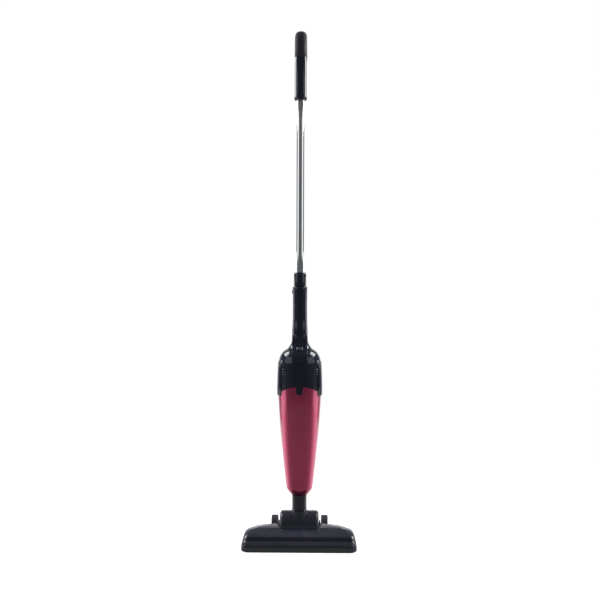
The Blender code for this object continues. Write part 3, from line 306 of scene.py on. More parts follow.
def prism(name, outline, axis, low, high):
    """A flat outline pushed from low to high along an axis."""

    def lift(u, v, w):
        return {"X": (w, u, v), "Y": (u, w, v), "Z": (u, v, w)}[axis]

    return loft(name, [[lift(u, v, w) for u, v in outline] for w in (low, high)])


def box(name, low, high):
    outline = [(low[0], low[1]), (high[0], low[1]), (high[0], high[1]), (low[0], high[1])]
    return prism(name, outline, "Z", low[2], high[2])


def rod(name, radius, start, end, steps=48):
    start, end = Vector(start), Vector(end)
    length = (end - start).length
    made = turned(name, [(radius, 0), (radius, length)], steps, closed=False)
    turn = (end - start).to_track_quat("Z", "Y").to_matrix().to_4x4()
    made.data.transform(Matrix.Translation(start) @ turn)
    return made


def arc(centre, radii, start, end, steps):
    """Points along an ellipse's arc, with the angles in degrees."""
    points = []
    for i in range(steps + 1):
        angle = math.radians(start + (end - start) * i / steps)
        points.append((centre[0] + radii[0] * math.cos(angle), centre[1] + radii[1] * math.sin(angle)))
    return points


def oval(half_u, half_v, count, power=2.0):
    """A superellipse round the origin."""
    points = []
    for i in range(count):
        c, s = math.cos(2 * math.pi * i / count), math.sin(2 * math.pi * i / count)
        u = half_u * math.copysign(abs(c) ** (2 / power), c)
        v = half_v * math.copysign(abs(s) ** (2 / power), s)
        points.append((u, v))
    return points


def lerp(a, b, t):
    return a + (b - a) * t


def ease(t):
    t = min(1.0, max(0.0, t))
    return t * t * (3 - 2 * t)


def span(low, high, steps):
    return [lerp(low, high, i / steps) for i in range(steps + 1)]


def softened(stations, steps=4, reach=0.4):
    """The stations with each inner one turned into a short curve, whatever they hold."""
    result = [stations[0]]
    for before, here, after in zip(stations, stations[1:], stations[2:]):
        start = [lerp(h, b, reach) for h, b in zip(here, before)]
        end = [lerp(h, a, reach) for h, a in zip(here, after)]
        for i in range(steps + 1):
            t = i / steps
            near = [lerp(s, h, t) for s, h in zip(start, here)]
            far = [lerp(h, e, t) for h, e in zip(here, end)]
            result.append(tuple(lerp(n, f, t) for n, f in zip(near, far)))
    result.append(stations[-1])
    return result


def bake(obj):
    """Replace the object's mesh by what its modifiers make of it."""
    seen = obj.evaluated_get(bpy.context.evaluated_depsgraph_get())
    obj.data = bpy.data.meshes.new_from_object(seen)
    obj.modifiers.clear()
    return obj


def combine(target, operation, pieces):
    """One exact Boolean of the target with several pieces, which are then removed."""
    group = bpy.data.collections.new("operands")
    SCENE.collection.children.link(group)
    for piece in pieces:
        SCENE.collection.objects.unlink(piece)
        group.objects.link(piece)
    boolean = target.modifiers.new("combine", "BOOLEAN")
    boolean.operation = operation
    boolean.solver = "EXACT"
    boolean.operand_type = "COLLECTION"
    boolean.collection = group
    bake(target)
    for piece in pieces:
        bpy.data.objects.remove(piece)
    bpy.data.collections.remove(group)
    return target


def cut(target, *pieces):
    return combine(target, "DIFFERENCE", pieces)


def join(target, *pieces):
    return combine(target, "UNION", pieces)


def bevelled(obj, width, segments=3, angle=40):
    bevel = obj.modifiers.new("round", "BEVEL")
    bevel.width = width
    bevel.segments = segments
    bevel.limit_method = "ANGLE"
    bevel.angle_limit = math.radians(angle)
    return bake(obj)


def sides():
    return ((-1, "left"), (1, "right"))


# ---- Materials ----
def set_inputs(tree, node, inputs):
    """Give each input its value, or a link where the value is another node's output."""
    for name, value in inputs.items():
        if isinstance(value, bpy.types.NodeSocket):
            tree.links.new(value, node.inputs[name])
        else:
            node.inputs[name].default_value = value


def add_node(tree, kind, inputs, **settings):
    node = tree.nodes.new(f"ShaderNode{kind}")
    for name, value in settings.items():
        setattr(node, name, value)
    set_inputs(tree, node, inputs)
    return node


def new_material(name, colour, roughness, metallic=0.0):
    """A Principled material, its node tree and its shader."""
    material = bpy.data.materials.new(name)
    material.use_nodes = True
    tree = material.node_tree
    shader = tree.nodes["Principled BSDF"]
    inputs = {"Base Color": (*colour, 1), "Roughness": roughness, "Metallic": metallic}
    set_inputs(tree, shader, inputs)
    return material, tree, shader


def coordinates(tree, kind="Object"):
    return add_node(tree, "TexCoord", {}).outputs[kind]


def noise(tree, scale, detail, stretch=(1, 1, 1)):
    """Noise in the object's own coordinates, stretched by a factor along each axis."""
    mapping = add_node(tree, "Mapping", {"Vector": coordinates(tree), "Scale": stretch})
    inputs = {"Vector": mapping.outputs["Vector"], "Scale": scale, "Detail": detail}
    return add_node(tree, "TexNoise", inputs).outputs["Fac"]


def remapped(tree, value, low, high, start=0.3, end=0.7):
    inputs = {"Value": value, "From Min": start, "From Max": end, "To Min": low, "To Max": high}
    return add_node(tree, "MapRange", inputs).outputs["Result"]


def paint(tree, shader, factor, first, second):
    """The shader's colour goes from the first to the second with the factor."""
    inputs = {"Factor": factor, "A": (*first, 1), "B": (*second, 1)}
    node = add_node(tree, "Mix", inputs, data_type="RGBA")
    set_inputs(tree, shader, {"Base Color": node.outputs["Result"]})
    return node


def add_polish(tree, shader, value, low, high):
    set_inputs(tree, shader, {"Roughness": remapped(tree, value, low, high)})


def add_relief(tree, shader, height, depth):
    bump = add_node(tree, "Bump", {"Height": height, "Distance": depth, "Strength": 1.0})
    set_inputs(tree, shader, {"Normal": bump.outputs["Normal"]})


def moulded(name, colour, roughness, spread, grain, depth, wear_and_highlight=0.25):
    """Moulded plastic or rubber: a fine grain, uneven polish and paler edges, partly wear and partly a
    painted highlight.
    """
    material, tree, shader = new_material(name, colour, roughness)
    add_polish(tree, shader, noise(tree, 45, 4), roughness - spread, roughness + spread)
    drift = remapped(tree, noise(tree, 18, 3), 0, 1)
    tone = paint(tree, shader, drift, [c * 0.9 for c in colour], [c * 1.1 for c in colour])
    # paler sharp edges: partly wear, partly a painted highlight where the edges catch the light
    pointed = add_node(tree, "NewGeometry", {}).outputs["Pointiness"]
    edge = remapped(tree, pointed, 0.0, wear_and_highlight, 0.52, 0.62)
    worn_and_lit_edge = paint(tree, shader, edge, colour, [min(1, c * 2 + 0.01) for c in colour])
    set_inputs(tree, worn_and_lit_edge, {"A": tone.outputs["Result"]})
    add_relief(tree, shader, noise(tree, grain, 3), depth)
    return material


def metal(name, colour, roughness, spread, stretch, depth):
    """Drawn or ground metal: streaks along the direction that the stretch leaves long."""
    material, tree, shader = new_material(name, colour, roughness, 1.0)
    streaks = noise(tree, 900, 3, stretch)
    add_polish(tree, shader, streaks, max(0.02, roughness - spread), roughness + spread)
    smudge = remapped(tree, noise(tree, 25, 4), 0, 1)
    paint(tree, shader, smudge, [c * 0.93 for c in colour], colour)
    add_relief(tree, shader, streaks, depth)
    return material


def candy_red(name, colour):
    """Red metallic lacquer: fine flakes under a clear, slightly wavy coat."""
    material, tree, shader = new_material(name, colour, 0.30, 0.75)
    set_inputs(tree, shader, {"Coat Weight": 0.7, "Coat Roughness": 0.05})
    flakes = add_node(tree, "TexVoronoi", {"Vector": coordinates(tree), "Scale": 2200})
    paint(tree, shader, flakes.outputs["Distance"], colour, [c * 1.25 for c in colour])
    add_polish(tree, shader, noise(tree, 30, 4), 0.26, 0.34)
    add_relief(tree, shader, flakes.outputs["Distance"], 0.000012)
    return material


def fabric(name, colour, scale, depth):
    """Nylon pile or filter paper: fibres from stretched noise."""
    material, tree, shader = new_material(name, colour, 0.9)
    set_inputs(tree, shader, {"Sheen Weight": 0.3})
    fibres = noise(tree, scale, 5, (1, 1, 0.15))
    paint(tree, shader, fibres, [c * 0.65 for c in colour], [min(1, c * 1.2) for c in colour])
    add_relief(tree, shader, fibres, depth)
    return material


def winding(name, colour, shade, shine):
    """Lacquered copper wire, laid side by side along the armature, with painted shade between the wires and
    a painted highlight along each.
    """
    material, tree, shader = new_material(name, colour, 0.3, 1.0)
    inputs = {"Vector": coordinates(tree), "Scale": 320, "Distortion": 0.6}
    wires = add_node(tree, "TexWave", inputs, bands_direction="X").outputs["Fac"]
    # the bands paint shade between the wires and a highlight along each wire
    paint(tree, shader, wires, shade, shine)
    add_relief(tree, shader, wires, 0.0001)
    return material


FINISHES = [
    # moulded: name, colour, roughness, its spread, grain scale, grain depth, edge wear and painted edge
    # highlight
    (moulded, "black_gloss", (0.026, 0.029, 0.052), 0.085, 0.02, 900, 0.0000015, 0.10),
    (moulded, "nozzle_plastic", (0.044, 0.050, 0.072), 0.26, 0.05, 2600, 0.00001),
    (moulded, "nozzle_gloss", (0.016, 0.018, 0.024), 0.12, 0.03, 900, 0.000002),
    (moulded, "base_plastic", (0.088, 0.090, 0.108), 0.50, 0.06, 2200, 0.00003),
    (moulded, "inner_plastic", (0.055, 0.057, 0.062), 0.45, 0.06, 2000, 0.00002),
    (moulded, "switch_grey", (0.110, 0.113, 0.125), 0.36, 0.06, 2400, 0.00002),
    (moulded, "grip_rubber", (0.046, 0.043, 0.058), 0.62, 0.08, 3200, 0.00005, 0.4),
    (moulded, "seal_rubber", (0.018, 0.018, 0.018), 0.75, 0.08, 2200, 0.00004),
    (moulded, "tyre_rubber", (0.044, 0.047, 0.060), 0.78, 0.08, 1800, 0.00006),
    (candy_red, "red_cup", (0.520, 0.050, 0.135)),
    # metal: name, colour, roughness, its spread, stretch, relief depth
    (metal, "chrome", (0.820, 0.825, 0.830), 0.07, 0.03, (1, 1, 0.01), 0.0000004),
    (metal, "steel", (0.560, 0.560, 0.570), 0.30, 0.10, (1, 1, 0.2), 0.000003),
    (metal, "iron", (0.120, 0.120, 0.125), 0.45, 0.12, (0.1, 0.1, 3), 0.00002),
    # winding: name, colour, its darkest (painted shade between wires) and its brightest (painted highlight
    # on them)
    (winding, "copper", (0.650, 0.320, 0.150), (0.300, 0.110, 0.040), (0.700, 0.350, 0.170)),
    # fabric: name, colour, fibre scale, relief depth
    (fabric, "bristle", (0.030, 0.030, 0.034), 1500, 0.0002),
    (fabric, "filter_fabric", (0.780, 0.770, 0.730), 900, 0.0001),
]
MATERIALS = {name: maker(name, *values) for maker, name, *values in FINISHES}


def finish_piece(obj, body, material, *nodes):
    """Move a piece to its place, give it its material and body, and hide what it stands for."""
    obj.data.transform(Matrix.Translation((0, CENTRE_Y, 0)))
    obj.data.materials.clear()
    obj.data.materials.append(MATERIALS[material])
    obj.data.shade_smooth()
    obj.data.set_sharp_from_angle(angle=PIECE_SHARP)
    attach(obj, body)
    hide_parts(*nodes)


# ---- Outlines shared by several pieces ----
def along_stations(stations, z):
    for (z0, v0), (z1, v1) in zip(stations, stations[1:]):
        if z <= z1:
            return lerp(v0, v1, (z - z0) / (z1 - z0))
    return stations[-1][1]


def sharp_housing_half(z):
    """Half width of the motor housing and neck, as in the CAD model."""
    if z <= DOME_SPRING:
        return CUP_RADIUS - HOUSING_TAPER * (z - CUP_SHOULDER) / (DOME_SPRING - CUP_SHOULDER)
    if z <= DOME_TOP:
        rise = (z - DOME_SPRING) / DOME_HEIGHT
        return DOME_INNER + DOME_SPREAD * math.sqrt(1 - rise * rise)
    if z <= FILLET_TOP:
        left = (FILLET_TOP - z) / (FILLET_TOP - DOME_TOP)
        return FILLET_HALF + FILLET_FLARE * left * left
    return along_stations(NECK_STATIONS, z)


def housing_half(z):
    """The same, averaged over a short stretch so that its stations leave no kinks."""
    reach = 0.0015 if z < FILLET_TOP - 0.003 else 0.006
    reach = min(reach, max(0.0, NECK_TOP - z), max(0.0, z - DOME_SPRING))
    spots = span(z - reach, z + reach, 6)
    return sum(sharp_housing_half(spot) for spot in spots) / len(spots)


def cup_radius(z):
    if z >= CUP_SHOULDER:
        return CUP_RADIUS
    if z >= CUP_KNEE:
        t = (z - CUP_KNEE) / (CUP_SHOULDER - CUP_KNEE)
        return lerp(CUP_KNEE_RADIUS, CUP_RADIUS, t + CUP_FULLNESS * t * (1 - t))
    drop = (CUP_KNEE - z) / (CUP_KNEE - CUP_BOTTOM)
    return CUP_FOOT_RADIUS + (CUP_KNEE_RADIUS - CUP_FOOT_RADIUS) * max(0.0, 1 - drop**1.6)


def arch_points(lift):
    """The arched rim where the cup and the housing meet, drawn across the front."""
    radius = (ARCH_HALF**2 + ARCH_RISE**2) / (2 * ARCH_RISE)
    xs = span(-ARCH_REACH, ARCH_REACH, 72)
    return [(x, ARCH_TOP - radius + math.sqrt(radius * radius - x * x) + lift) for x in xs]


def head_outline(inset_front, inset_side, inset_rear, rear_steps=48):
    """Plan of the floor head: straight front, rounded corners, bowed rear edge."""
    half = HEAD_WIDTH / 2 - inset_side
    front = -HEAD_FRONT + inset_front
    turn = max(0.003, HEAD_CORNER - inset_side / 2)
    reach = half - turn
    points = arc((-reach, front + turn), (turn, turn), 180, 270, 14)
    points += arc((reach, front + turn), (turn, turn), 270, 360, 14)
    rear_end = HEAD_REAR - HEAD_REAR_DROP - inset_rear
    points += arc((reach, rear_end - turn), (turn, turn), 0, 75, 10)
    for i in range(1, rear_steps):
        x = reach * (1 - 2 * i / rear_steps)
        share = (x / (HEAD_WIDTH / 2)) ** 2
        points.append((x, HEAD_REAR - HEAD_REAR_DROP * share - inset_rear))
    points += arc((-reach, rear_end - turn), (turn, turn), 105, 180, 10)
    return points


# ---- Floor head ----
def base_plate():
    # height, front inset, side inset, rear inset
    edge = softened([(0.0, 0.0030, 0.0045, 0.0015), (0.0012, 0.0010, 0.0015, 0.0005), (0.0030, 0, 0, 0)])
    edge.append((PLATE_TOP - 0.0010, 0, 0, 0))
    edge.append((PLATE_TOP - GAP, 0.0006, 0.0006, 0.0006))
    rings = [[(x, y, z) for x, y in head_outline(*insets)] for z, *insets in edge]
    plate = loft("base_plate_shell", rings)
    low = (-SLOT_HALF[0], SLOT_Y - SLOT_HALF[1], -0.01)
    cutters = [box("slot", low, (SLOT_HALF[0], SLOT_Y + SLOT_HALF[1], 0.02))]
    for y in BRISTLE_Y:
        cutters.append(box("groove", (-0.0985, y - 0.0033, -0.01), (0.0985, y + 0.0033, 0.0050)))
    for side, _ in sides():
        x, y = side * BASE_SCREW[0], BASE_SCREW[1]
        cutters.append(rod("sink", 0.0040, (x, y, -0.01), (x, y, 0.0035)))
        cutters.append(rod("way", 0.0018, (x, y, -0.01), (x, y, 0.02)))
        cutters.append(plug_rod("recess", 0.0027, side, -0.0016, 0.004))
    finish_piece(cut(plate, *cutters), "floor_head", "base_plastic", "base_plate")


def plug_rod(name, radius, side, depth_in, depth_out):
    """A round plug across the front corner, at 45 degrees to the front face."""
    corner = Vector((side * (HEAD_WIDTH / 2 - HEAD_CORNER), -HEAD_FRONT + HEAD_CORNER, PLUG_Z))
    out = Vector((side * math.sqrt(0.5), -math.sqrt(0.5), 0))
    surface = corner + out * (HEAD_CORNER - 0.0004)
    return rod(name, radius, surface + out * depth_in, surface + out * depth_out, 40)


def corner_plugs():
    for side, word in sides():
        plug = bevelled(plug_rod(f"plug_{word}", 0.0024, side, -0.0013, 0.0005), 0.0004)
        finish_piece(plug, "floor_head", "inner_plastic", f"corner_plug_{word}")


def strip_of_tufts(name, y, spacing, thickness, node):
    """A backing bar with two rows of tapered tufts that end just above the floor."""
    half_x, half_y = STRIP_HALF
    strip = box(name, (-half_x, y - half_y, STRIP_TOP - 0.0012), (half_x, y + half_y, STRIP_TOP))
    tuft_top = STRIP_TOP - 0.0006
    edit = bmesh.new()
    edit.from_mesh(strip.data)
    count = int(0.194 / spacing)
    for row in (-1, 1):
        for i in range(count):
            x = -0.097 + spacing * (i + 0.5 + 0.25 * row)
            lean = 0.0002 * math.sin(2.4 * i + row)
            middle = Vector((x, y + row * 0.0013 + lean, (TUFT_LOW + tuft_top) / 2))
            size = {"radius1": thickness * 0.7, "radius2": thickness, "depth": tuft_top - TUFT_LOW}
            at = Matrix.Translation(middle)
            bmesh.ops.create_cone(edit, cap_ends=True, segments=7, matrix=at, **size)
    edit.to_mesh(strip.data)
    edit.free()
    finish_piece(strip, "floor_head", "bristle", node)


def cover_rings(shrink=0.0, steps=4):
    stations = [
        # z, front inset, side inset, rear inset, share of the crown
        (PLATE_TOP, 0.0, 0.0, 0.0, 0.0),
        (0.0150, 0.0004, 0.0006, 0.0, 0.0),
        (0.0215, 0.0060, 0.0020, 0.0004, 0.0),
        (0.0228, 0.0090, 0.0024, 0.0008, 0.05),
        (0.0292, 0.0135, 0.0036, 0.0020, 0.25),
        (0.0345, 0.0200, 0.0050, 0.0030, 0.45),
        (0.0400, 0.0320, 0.0085, 0.0060, 0.65),
        (0.0435, 0.0400, 0.0150, 0.0090, 0.80),
        (0.0455, 0.0440, 0.0300, 0.0120, 1.0),
    ]
    half = HEAD_WIDTH / 2
    rings = []
    for z, front, side, rear, share in softened(stations, steps, 0.35):
        outline = head_outline(front + shrink, side + shrink, rear + shrink)
        rings.append([(x, y, z - shrink - CROWN * share * (x / half) ** 2) for x, y in outline])
    return rings


def arm_outline():
    points = [(-0.022, 0.0138), (0.052, 0.0138)]
    points += arc((WHEEL_Y, WHEEL_RADIUS), (0.0095, 0.0095), -100, 75, 28)
    points += arc((TILT_Y, TILT_Z), (0.0090, 0.0090), 60, 160, 20)
    points.append((-0.022, 0.0350))
    return points


def nozzle_cover():
    cover = loft("nozzle_cover_shell", cover_rings())
    cut(cover, loft("hollow", cover_rings(WALL, 1)))
    arms = []
    holes = []
    for side, _ in sides():
        low, high = sorted((side * ARM_INNER, side * ARM_OUTER))
        arms.append(bevelled(prism("arm", arm_outline(), "X", low, high), 0.0005, 2))
        for radius, y, z in ((PIN_HOLE, TILT_Y, TILT_Z), (AXLE_HOLE, WHEEL_Y, WHEEL_RADIUS)):
            holes.append(rod("hole", radius, (side * 0.040, y, z), (side * 0.050, y, z)))
    join(cover, *arms)
    cradle = BARREL_HALF + 0.0004
    ends = (-cradle, TILT_Y, TILT_Z), (cradle, TILT_Y, TILT_Z)
    cut(cover, rod("cradle", BARREL_RADIUS + 0.0005, *ends, 96), *holes)
    finish_piece(cover, "floor_head", "nozzle_plastic", "nozzle_cover")
    cover.data.materials.append(MATERIALS["nozzle_gloss"])
    for face in cover.data.polygons:
        # a glossy band round the front, on the outside only
        x, y = face.center.x, face.center.y - CENTRE_Y
        outward = face.normal.x * x * 0.3 + face.normal.y * y
        if GLOSS_BAND[0] < face.center.z < GLOSS_BAND[1] and outward > 0 and y < -0.030:
            face.material_index = 1


def pivot_pins():
    for side, word in sides():
        ends = (side * 0.0365, TILT_Y, TILT_Z), (side * (ARM_OUTER + 0.0003), TILT_Y, TILT_Z)
        pin = bevelled(rod(f"tilt_pin_{word}", PIN_RADIUS, *ends), 0.0005)
        finish_piece(pin, "floor_head", "inner_plastic", f"pivot_pin_{word}")


def wheels():
    width = WHEEL_OUTER - WHEEL_INNER
    for side, word in sides():
        at = (side * WHEEL_INNER, WHEEL_Y, WHEEL_RADIUS)
        along = "X" if side > 0 else "-X"
        tyre = tyre_with_tread(f"tyre_tread_{word}", width, at, side)
        finish_piece(tyre, f"wheel_{word}", "tyre_rubber", f"tyre_{word}")
        profile = [
            (0.0060, width - 0.0005),
            (0.0075, width - 0.0005),
            (0.0085, width - 0.0024),
            (0.0135, width - 0.0024),
            (0.0145, width - 0.0005),
            (0.0165, width - 0.0020),
            (0.0165, 0.0020),
            (0.0150, 0.0008),
            (AXLE_HOLE, 0.0008),
            (AXLE_HOLE, width - 0.0030),
            (0.0060, width - 0.0030),
        ]
        hub = turned(f"hub_{word}", rounded(profile, 0.0006, 3), 72, at, along)
        ribs = []
        for i in range(6):
            rib = box("rib", (0.0070, -0.0008, width - 0.0032), (0.0142, 0.0008, width - 0.0008))
            turn = Matrix.Rotation(math.radians(60 * i), 4, "Z")
            lay = Matrix.Rotation(math.radians(AXIS_TURNS[along][0]), 4, "Y")
            rib.data.transform(Matrix.Translation(at) @ lay @ turn)
            ribs.append(rib)
        finish_piece(join(hub, *ribs), f"wheel_{word}", "inner_plastic", f"wheel_hub_{word}")


def tyre_with_tread(name, width, at, side):
    """A tyre with two grooves round it and a shallow cross groove at every fifth step."""
    top = WHEEL_RADIUS
    inner_half = [
        (0.0168, 0.0010),
        (top - 0.0022, 0.0002),
        (top - 0.0006, 0.0010),
        (top, 0.0026),
        (top, width * 0.30),
        (top - 0.0006, width * 0.32),
        (top - 0.0006, width * 0.36),
        (top, width * 0.38),
    ]
    section = [(radius, width - w) for radius, w in inner_half] + inner_half[::-1]
    rings = []
    for i in range(TREAD_STEPS):
        angle = 2 * math.pi * i / TREAD_STEPS
        sink = 0.0005 if i % 5 == 0 else 0.0
        ring = []
        for radius, w in section:
            r = radius - (sink if radius > top - 0.0005 else 0.0)
            ring.append((at[0] + side * w, at[1] + r * math.cos(angle), at[2] + r * math.sin(angle)))
        rings.append(ring)
    return loft(name, rings, closed=True)


# ---- Neck ----
def swivel_barrel():
    half, radius = BARREL_HALF, BARREL_RADIUS
    centre = (0, TILT_Y, TILT_Z)
    edge = BARREL_EDGE
    outside = [(0, half), (radius - edge, half)]
    outside += arc((radius - edge, half - edge), (edge, edge), 88, 0, 12)
    outside += [(u, -v) for u, v in reversed(outside[1:])]
    outside.append((0, -half))
    barrel = turned("barrel", outside, 128, centre, "X", closed=False)
    join(barrel, rod("boss", BARREL_BOSS_RADIUS, (0, 0, TILT_Z), (0, 0, BARREL_BOSS_TOP), 112))
    inner = [(0, half - 0.003), (radius - 0.008, half - 0.003), (radius - WALL, half - 0.009)]
    inner += [(u, -v) for u, v in reversed(inner[1:])]
    inner.append((0, -half + 0.003))
    cutters = [turned("hollow", inner, 96, centre, "X", closed=False)]
    cutters.append(rod("top_hole", 0.0146, (0, 0, 0.045), (0, 0, 0.080), 72))
    cutters.append(box("mouth", (-0.030, TILT_Y - 0.010, 0.005), (0.030, TILT_Y + 0.020, 0.030)))
    for side, _ in sides():
        ends = (side * 0.030, TILT_Y, TILT_Z), (side * 0.050, TILT_Y, TILT_Z)
        cutters.append(rod("trunnion", PIN_HOLE, *ends))
    finish_piece(cut(barrel, *cutters), "neck", "nozzle_plastic", "swivel_barrel")


def neck_pipe():
    outside = [
        (SPIGOT_RADIUS - 0.0006, SPIGOT_TOP),
        (SPIGOT_RADIUS, SPIGOT_TOP - 0.0015),
        (SPIGOT_RADIUS, 0.1315),
        (SPIGOT_RADIUS - 0.0010, 0.1315),
        (SPIGOT_RADIUS - 0.0010, 0.1290),
        (SPIGOT_RADIUS, 0.1290),
        (SPIGOT_RADIUS, PIPE_TOP),
        (PIPE_RADIUS - 0.0006, PIPE_TOP),
        (PIPE_RADIUS, PIPE_TOP - 0.0008),
    ]
    foot = BARREL_BOSS_TOP + GAP
    waist = [(PIPE_RADIUS, 0.107), (0.0157, 0.100), (0.0157, 0.084), (0.0160, 0.0795), (0.0166, foot)]
    outside += softened(waist, 5) + [(PIPE_BORE, foot), (PIPE_BORE, SPIGOT_TOP)]
    pipe = turned("pipe", outside)
    tail = [(SPIGOT_RADIUS, 0.0800), (SPIGOT_RADIUS, 0.0600), (PIPE_BORE, 0.0600), (PIPE_BORE, 0.0800)]
    join(pipe, turned("tail", tail))
    finish_piece(pipe, "neck", "black_gloss", "neck_pipe")


# ---- Dust cup ----
def cup_shell():
    drop = CUP_KNEE - CUP_BOTTOM
    heights = span(CUP_SHOULDER, CUP_KNEE, 32)[:-1]
    heights += [CUP_KNEE - drop * math.sin(math.radians(6 * i)) for i in range(15)]
    outside = [(CUP_RADIUS, ARCH_TOP + 0.005)] + [(cup_radius(z), z) for z in heights]
    outside.append((CUP_FOOT_RADIUS, CUP_BOTTOM))
    inside = [(CUP_FOOT_RADIUS, CUP_BOTTOM + CUP_WALL)]
    for z in reversed(heights):
        if CUP_BOTTOM + 0.006 < z < CUP_LEDGE - 0.010:
            inside.append((cup_radius(z) - CUP_WALL, z + 0.0004))
    inside += [
        (cup_radius(0.305) - CUP_WALL, 0.305),
        (CUP_LEDGE_RADIUS, CUP_LEDGE - 0.004),
        (CUP_LEDGE_RADIUS, CUP_LEDGE),
        (CUP_RADIUS - CUP_WALL, CUP_LEDGE),
        (CUP_RADIUS - CUP_WALL, ARCH_TOP + 0.005),
    ]
    shell = turned("cup", outside + inside, 144)
    above = arch_points(0.0) + [(ARCH_REACH, 0.370), (-ARCH_REACH, 0.370)]
    cut(shell, prism("above", above, "Y", -0.06, 0.06))
    finish_piece(shell, "dust_cup", "red_cup", "cup_shell")


# ---- Motor unit ----
def spine_front(z):
    """How far forward the raised band's flat face stands, sunk in the housing at its ends."""
    half = housing_half(z)
    sunk = math.sqrt(max(0.0, half**2 - SPINE_HALF**2)) * 0.96
    share = ease((z - SPINE_FOOT) / 0.0030) * ease((SPINE_HEAD - z) / 0.0120)
    return lerp(sunk, half + SPINE_RISE, share)


def housing_point(angle, z):
    """A point of the housing's outside, the angle counted from the front."""
    half = housing_half(z)
    deep = half + 0.0010 * min(1.0, max(0.0, (z - DOME_TOP) / 0.030))
    c, s = math.cos(angle), math.sin(angle)
    radius = half * deep / math.hypot(deep * s, half * c)
    if c > 0.05 and SPINE_FOOT < z < SPINE_HEAD:
        band = min(spine_front(z) / c, SPINE_HALF / max(1e-6, abs(s)))
        blend = 0.0004
        radius = (radius + band + math.sqrt((radius - band) ** 2 + blend**2)) / 2 - blend / 2
    return (radius * s, -radius * c, z)


def housing_angles(z):
    """Angles from the front to the back on one side, crowded round the band's edge."""
    corner = math.atan2(SPINE_HALF, max(0.004, spine_front(z)))
    foot = math.asin(min(0.95, SPINE_HALF / housing_half(z)))
    first, last = min(corner, foot) - 0.06, max(corner, foot) + 0.06
    return span(0, first, 8)[:-1] + span(first, last, 16)[:-1] + span(last, math.pi, 30)


def housing_skin(name):
    heights = span(0.318, DOME_SPRING - 0.001, 10) + span(DOME_SPRING, DOME_TOP, 26)[1:]
    heights += span(DOME_TOP, FILLET_TOP, 12)[1:] + span(FILLET_TOP, NECK_TOP - 0.0012, 34)[1:]
    rings = []
    for z in heights:
        half_ring = housing_angles(z)
        angles = half_ring + [-a for a in reversed(half_ring[1:-1])]
        rings.append([housing_point(a, z) for a in angles])
    rings.append([(x * 0.96, y * 0.96, NECK_TOP) for x, y, z in rings[-1]])
    return loft(name, rings)


def housing_cutters():
    """The room, the wand socket, the arched foot and the button's window."""
    rings = []
    for z in [0.300] + span(DOME_SPRING, FILLET_TOP, 12) + [0.4580]:
        rings.append([(u, v, z) for u, v in oval(*[housing_half(max(z, CUP_SHOULDER)) - WALL] * 2, 64)])
    cutters = [loft("room", rings)]
    cutters.append(rod("socket", SOCKET_RADIUS, (0, 0, SOCKET_FLOOR), (0, 0, NECK_TOP + 0.01), 72))
    below = arch_points(0.00035) + [(ARCH_REACH, 0.290), (-ARCH_REACH, 0.290)]
    cutters.append(prism("foot", below, "Y", -0.06, 0.06))
    window = button_outline(BUTTON_ROOM, 40)
    cutters.append(prism("window", window, "X", -0.030, -0.005))
    return cutters


def vent_cutters(sign):
    """Slots for one half. The rear ones sit half a pitch higher, so nothing shows through."""
    cutters = []
    for row in range(VENT_ROWS):
        z = VENT_BOTTOM + VENT_PITCH * (row + (0.5 if sign > 0 else 0.0))
        for side, _ in sides():
            outline = [(side * VENT_X + u, z + v) for u, v in oval(0.00425, VENT_HALF, 24, 4.0)]
            cutters.append(prism("vent", outline, "Y", *sorted((sign * 0.012, sign * 0.060))))
    return cutters


def screw_boss(x, z, sign):
    end = 0.0150 if x == 0 else 0.0130
    return rod("boss", 0.0030, (x, sign * 0.0006, z), (x, sign * end, z), 32)


def housings():
    for name, sign in (("front", -1), ("rear", 1)):
        half = housing_skin(f"{name}_shell")
        low, high = sorted((-sign * 0.07, sign * GAP / 2))
        split = box("split", (-0.07, low, 0.28), (0.07, high, 0.60))
        cut(half, split, *housing_cutters(), *vent_cutters(sign))
        join(half, *[screw_boss(x, z, sign) for x, z in SCREW_SPOTS])
        if sign < 0:
            cutters = [rod("pilot", 0.0014, (x, -0.011, z), (x, 0.01, z), 24) for x, z in SCREW_SPOTS]
            # 0.2 mm more room than in the CAD, so that the latch turns 5 degrees without touching
            cutters.append(prism("latch_window", latch_outline(0.0006), "Y", -0.060, -0.036))
            cutters.append(sloped_box("switch_slot", (-0.0070, -0.0055, -0.012), (0.0070, 0.0105, 0.012)))
        else:
            cutters = [rod("gland_hole", 0.0054, (0, 0.008, GLAND_Z), (0, 0.040, GLAND_Z))]
            for x, z in SCREW_SPOTS:
                cutters.append(rod("way", 0.0016, (x, -0.01, z), (x, 0.05, z), 24))
                cutters.append(rod("sink", 0.0037, (x, 0.0105, z), (x, 0.05, z)))
        cut(half, *cutters)
        finish_piece(half, "motor_unit", "black_gloss", f"{name}_housing")


def side_trims():
    face = [
        # radius and height up the outer face
        (TRIM_RADIUS - 0.0004, TRIM_BOTTOM),
        (TRIM_RADIUS, TRIM_BOTTOM + 0.016),
        (TRIM_RADIUS - 0.0007, 0.3640),
        (TRIM_RADIUS - 0.0016, 0.3830),
        (TRIM_RADIUS - 0.0025, 0.3940),
    ]
    seat = [(sharp_housing_half(z) + 2 * GAP, z) for z in span(0.3940, DOME_SPRING, 3)]
    seat.append((CUP_RADIUS + GAP, TRIM_BOTTOM))
    for side, word in sides():
        rings = []
        for share in span(-1, 1, 48):
            angle = TRIM_HALF_ANGLE * share
            thin = 0.0014 * max(0.0, abs(share) - 0.86) / 0.14
            section = [(r - thin, z) for r, z in softened(face, 4)] + seat
            rings.append([(r * side * math.cos(angle), r * math.sin(angle), z) for r, z in section])
        finish_piece(loft(f"trim_{word}", rings), "motor_unit", "black_gloss", f"side_trim_{word}")


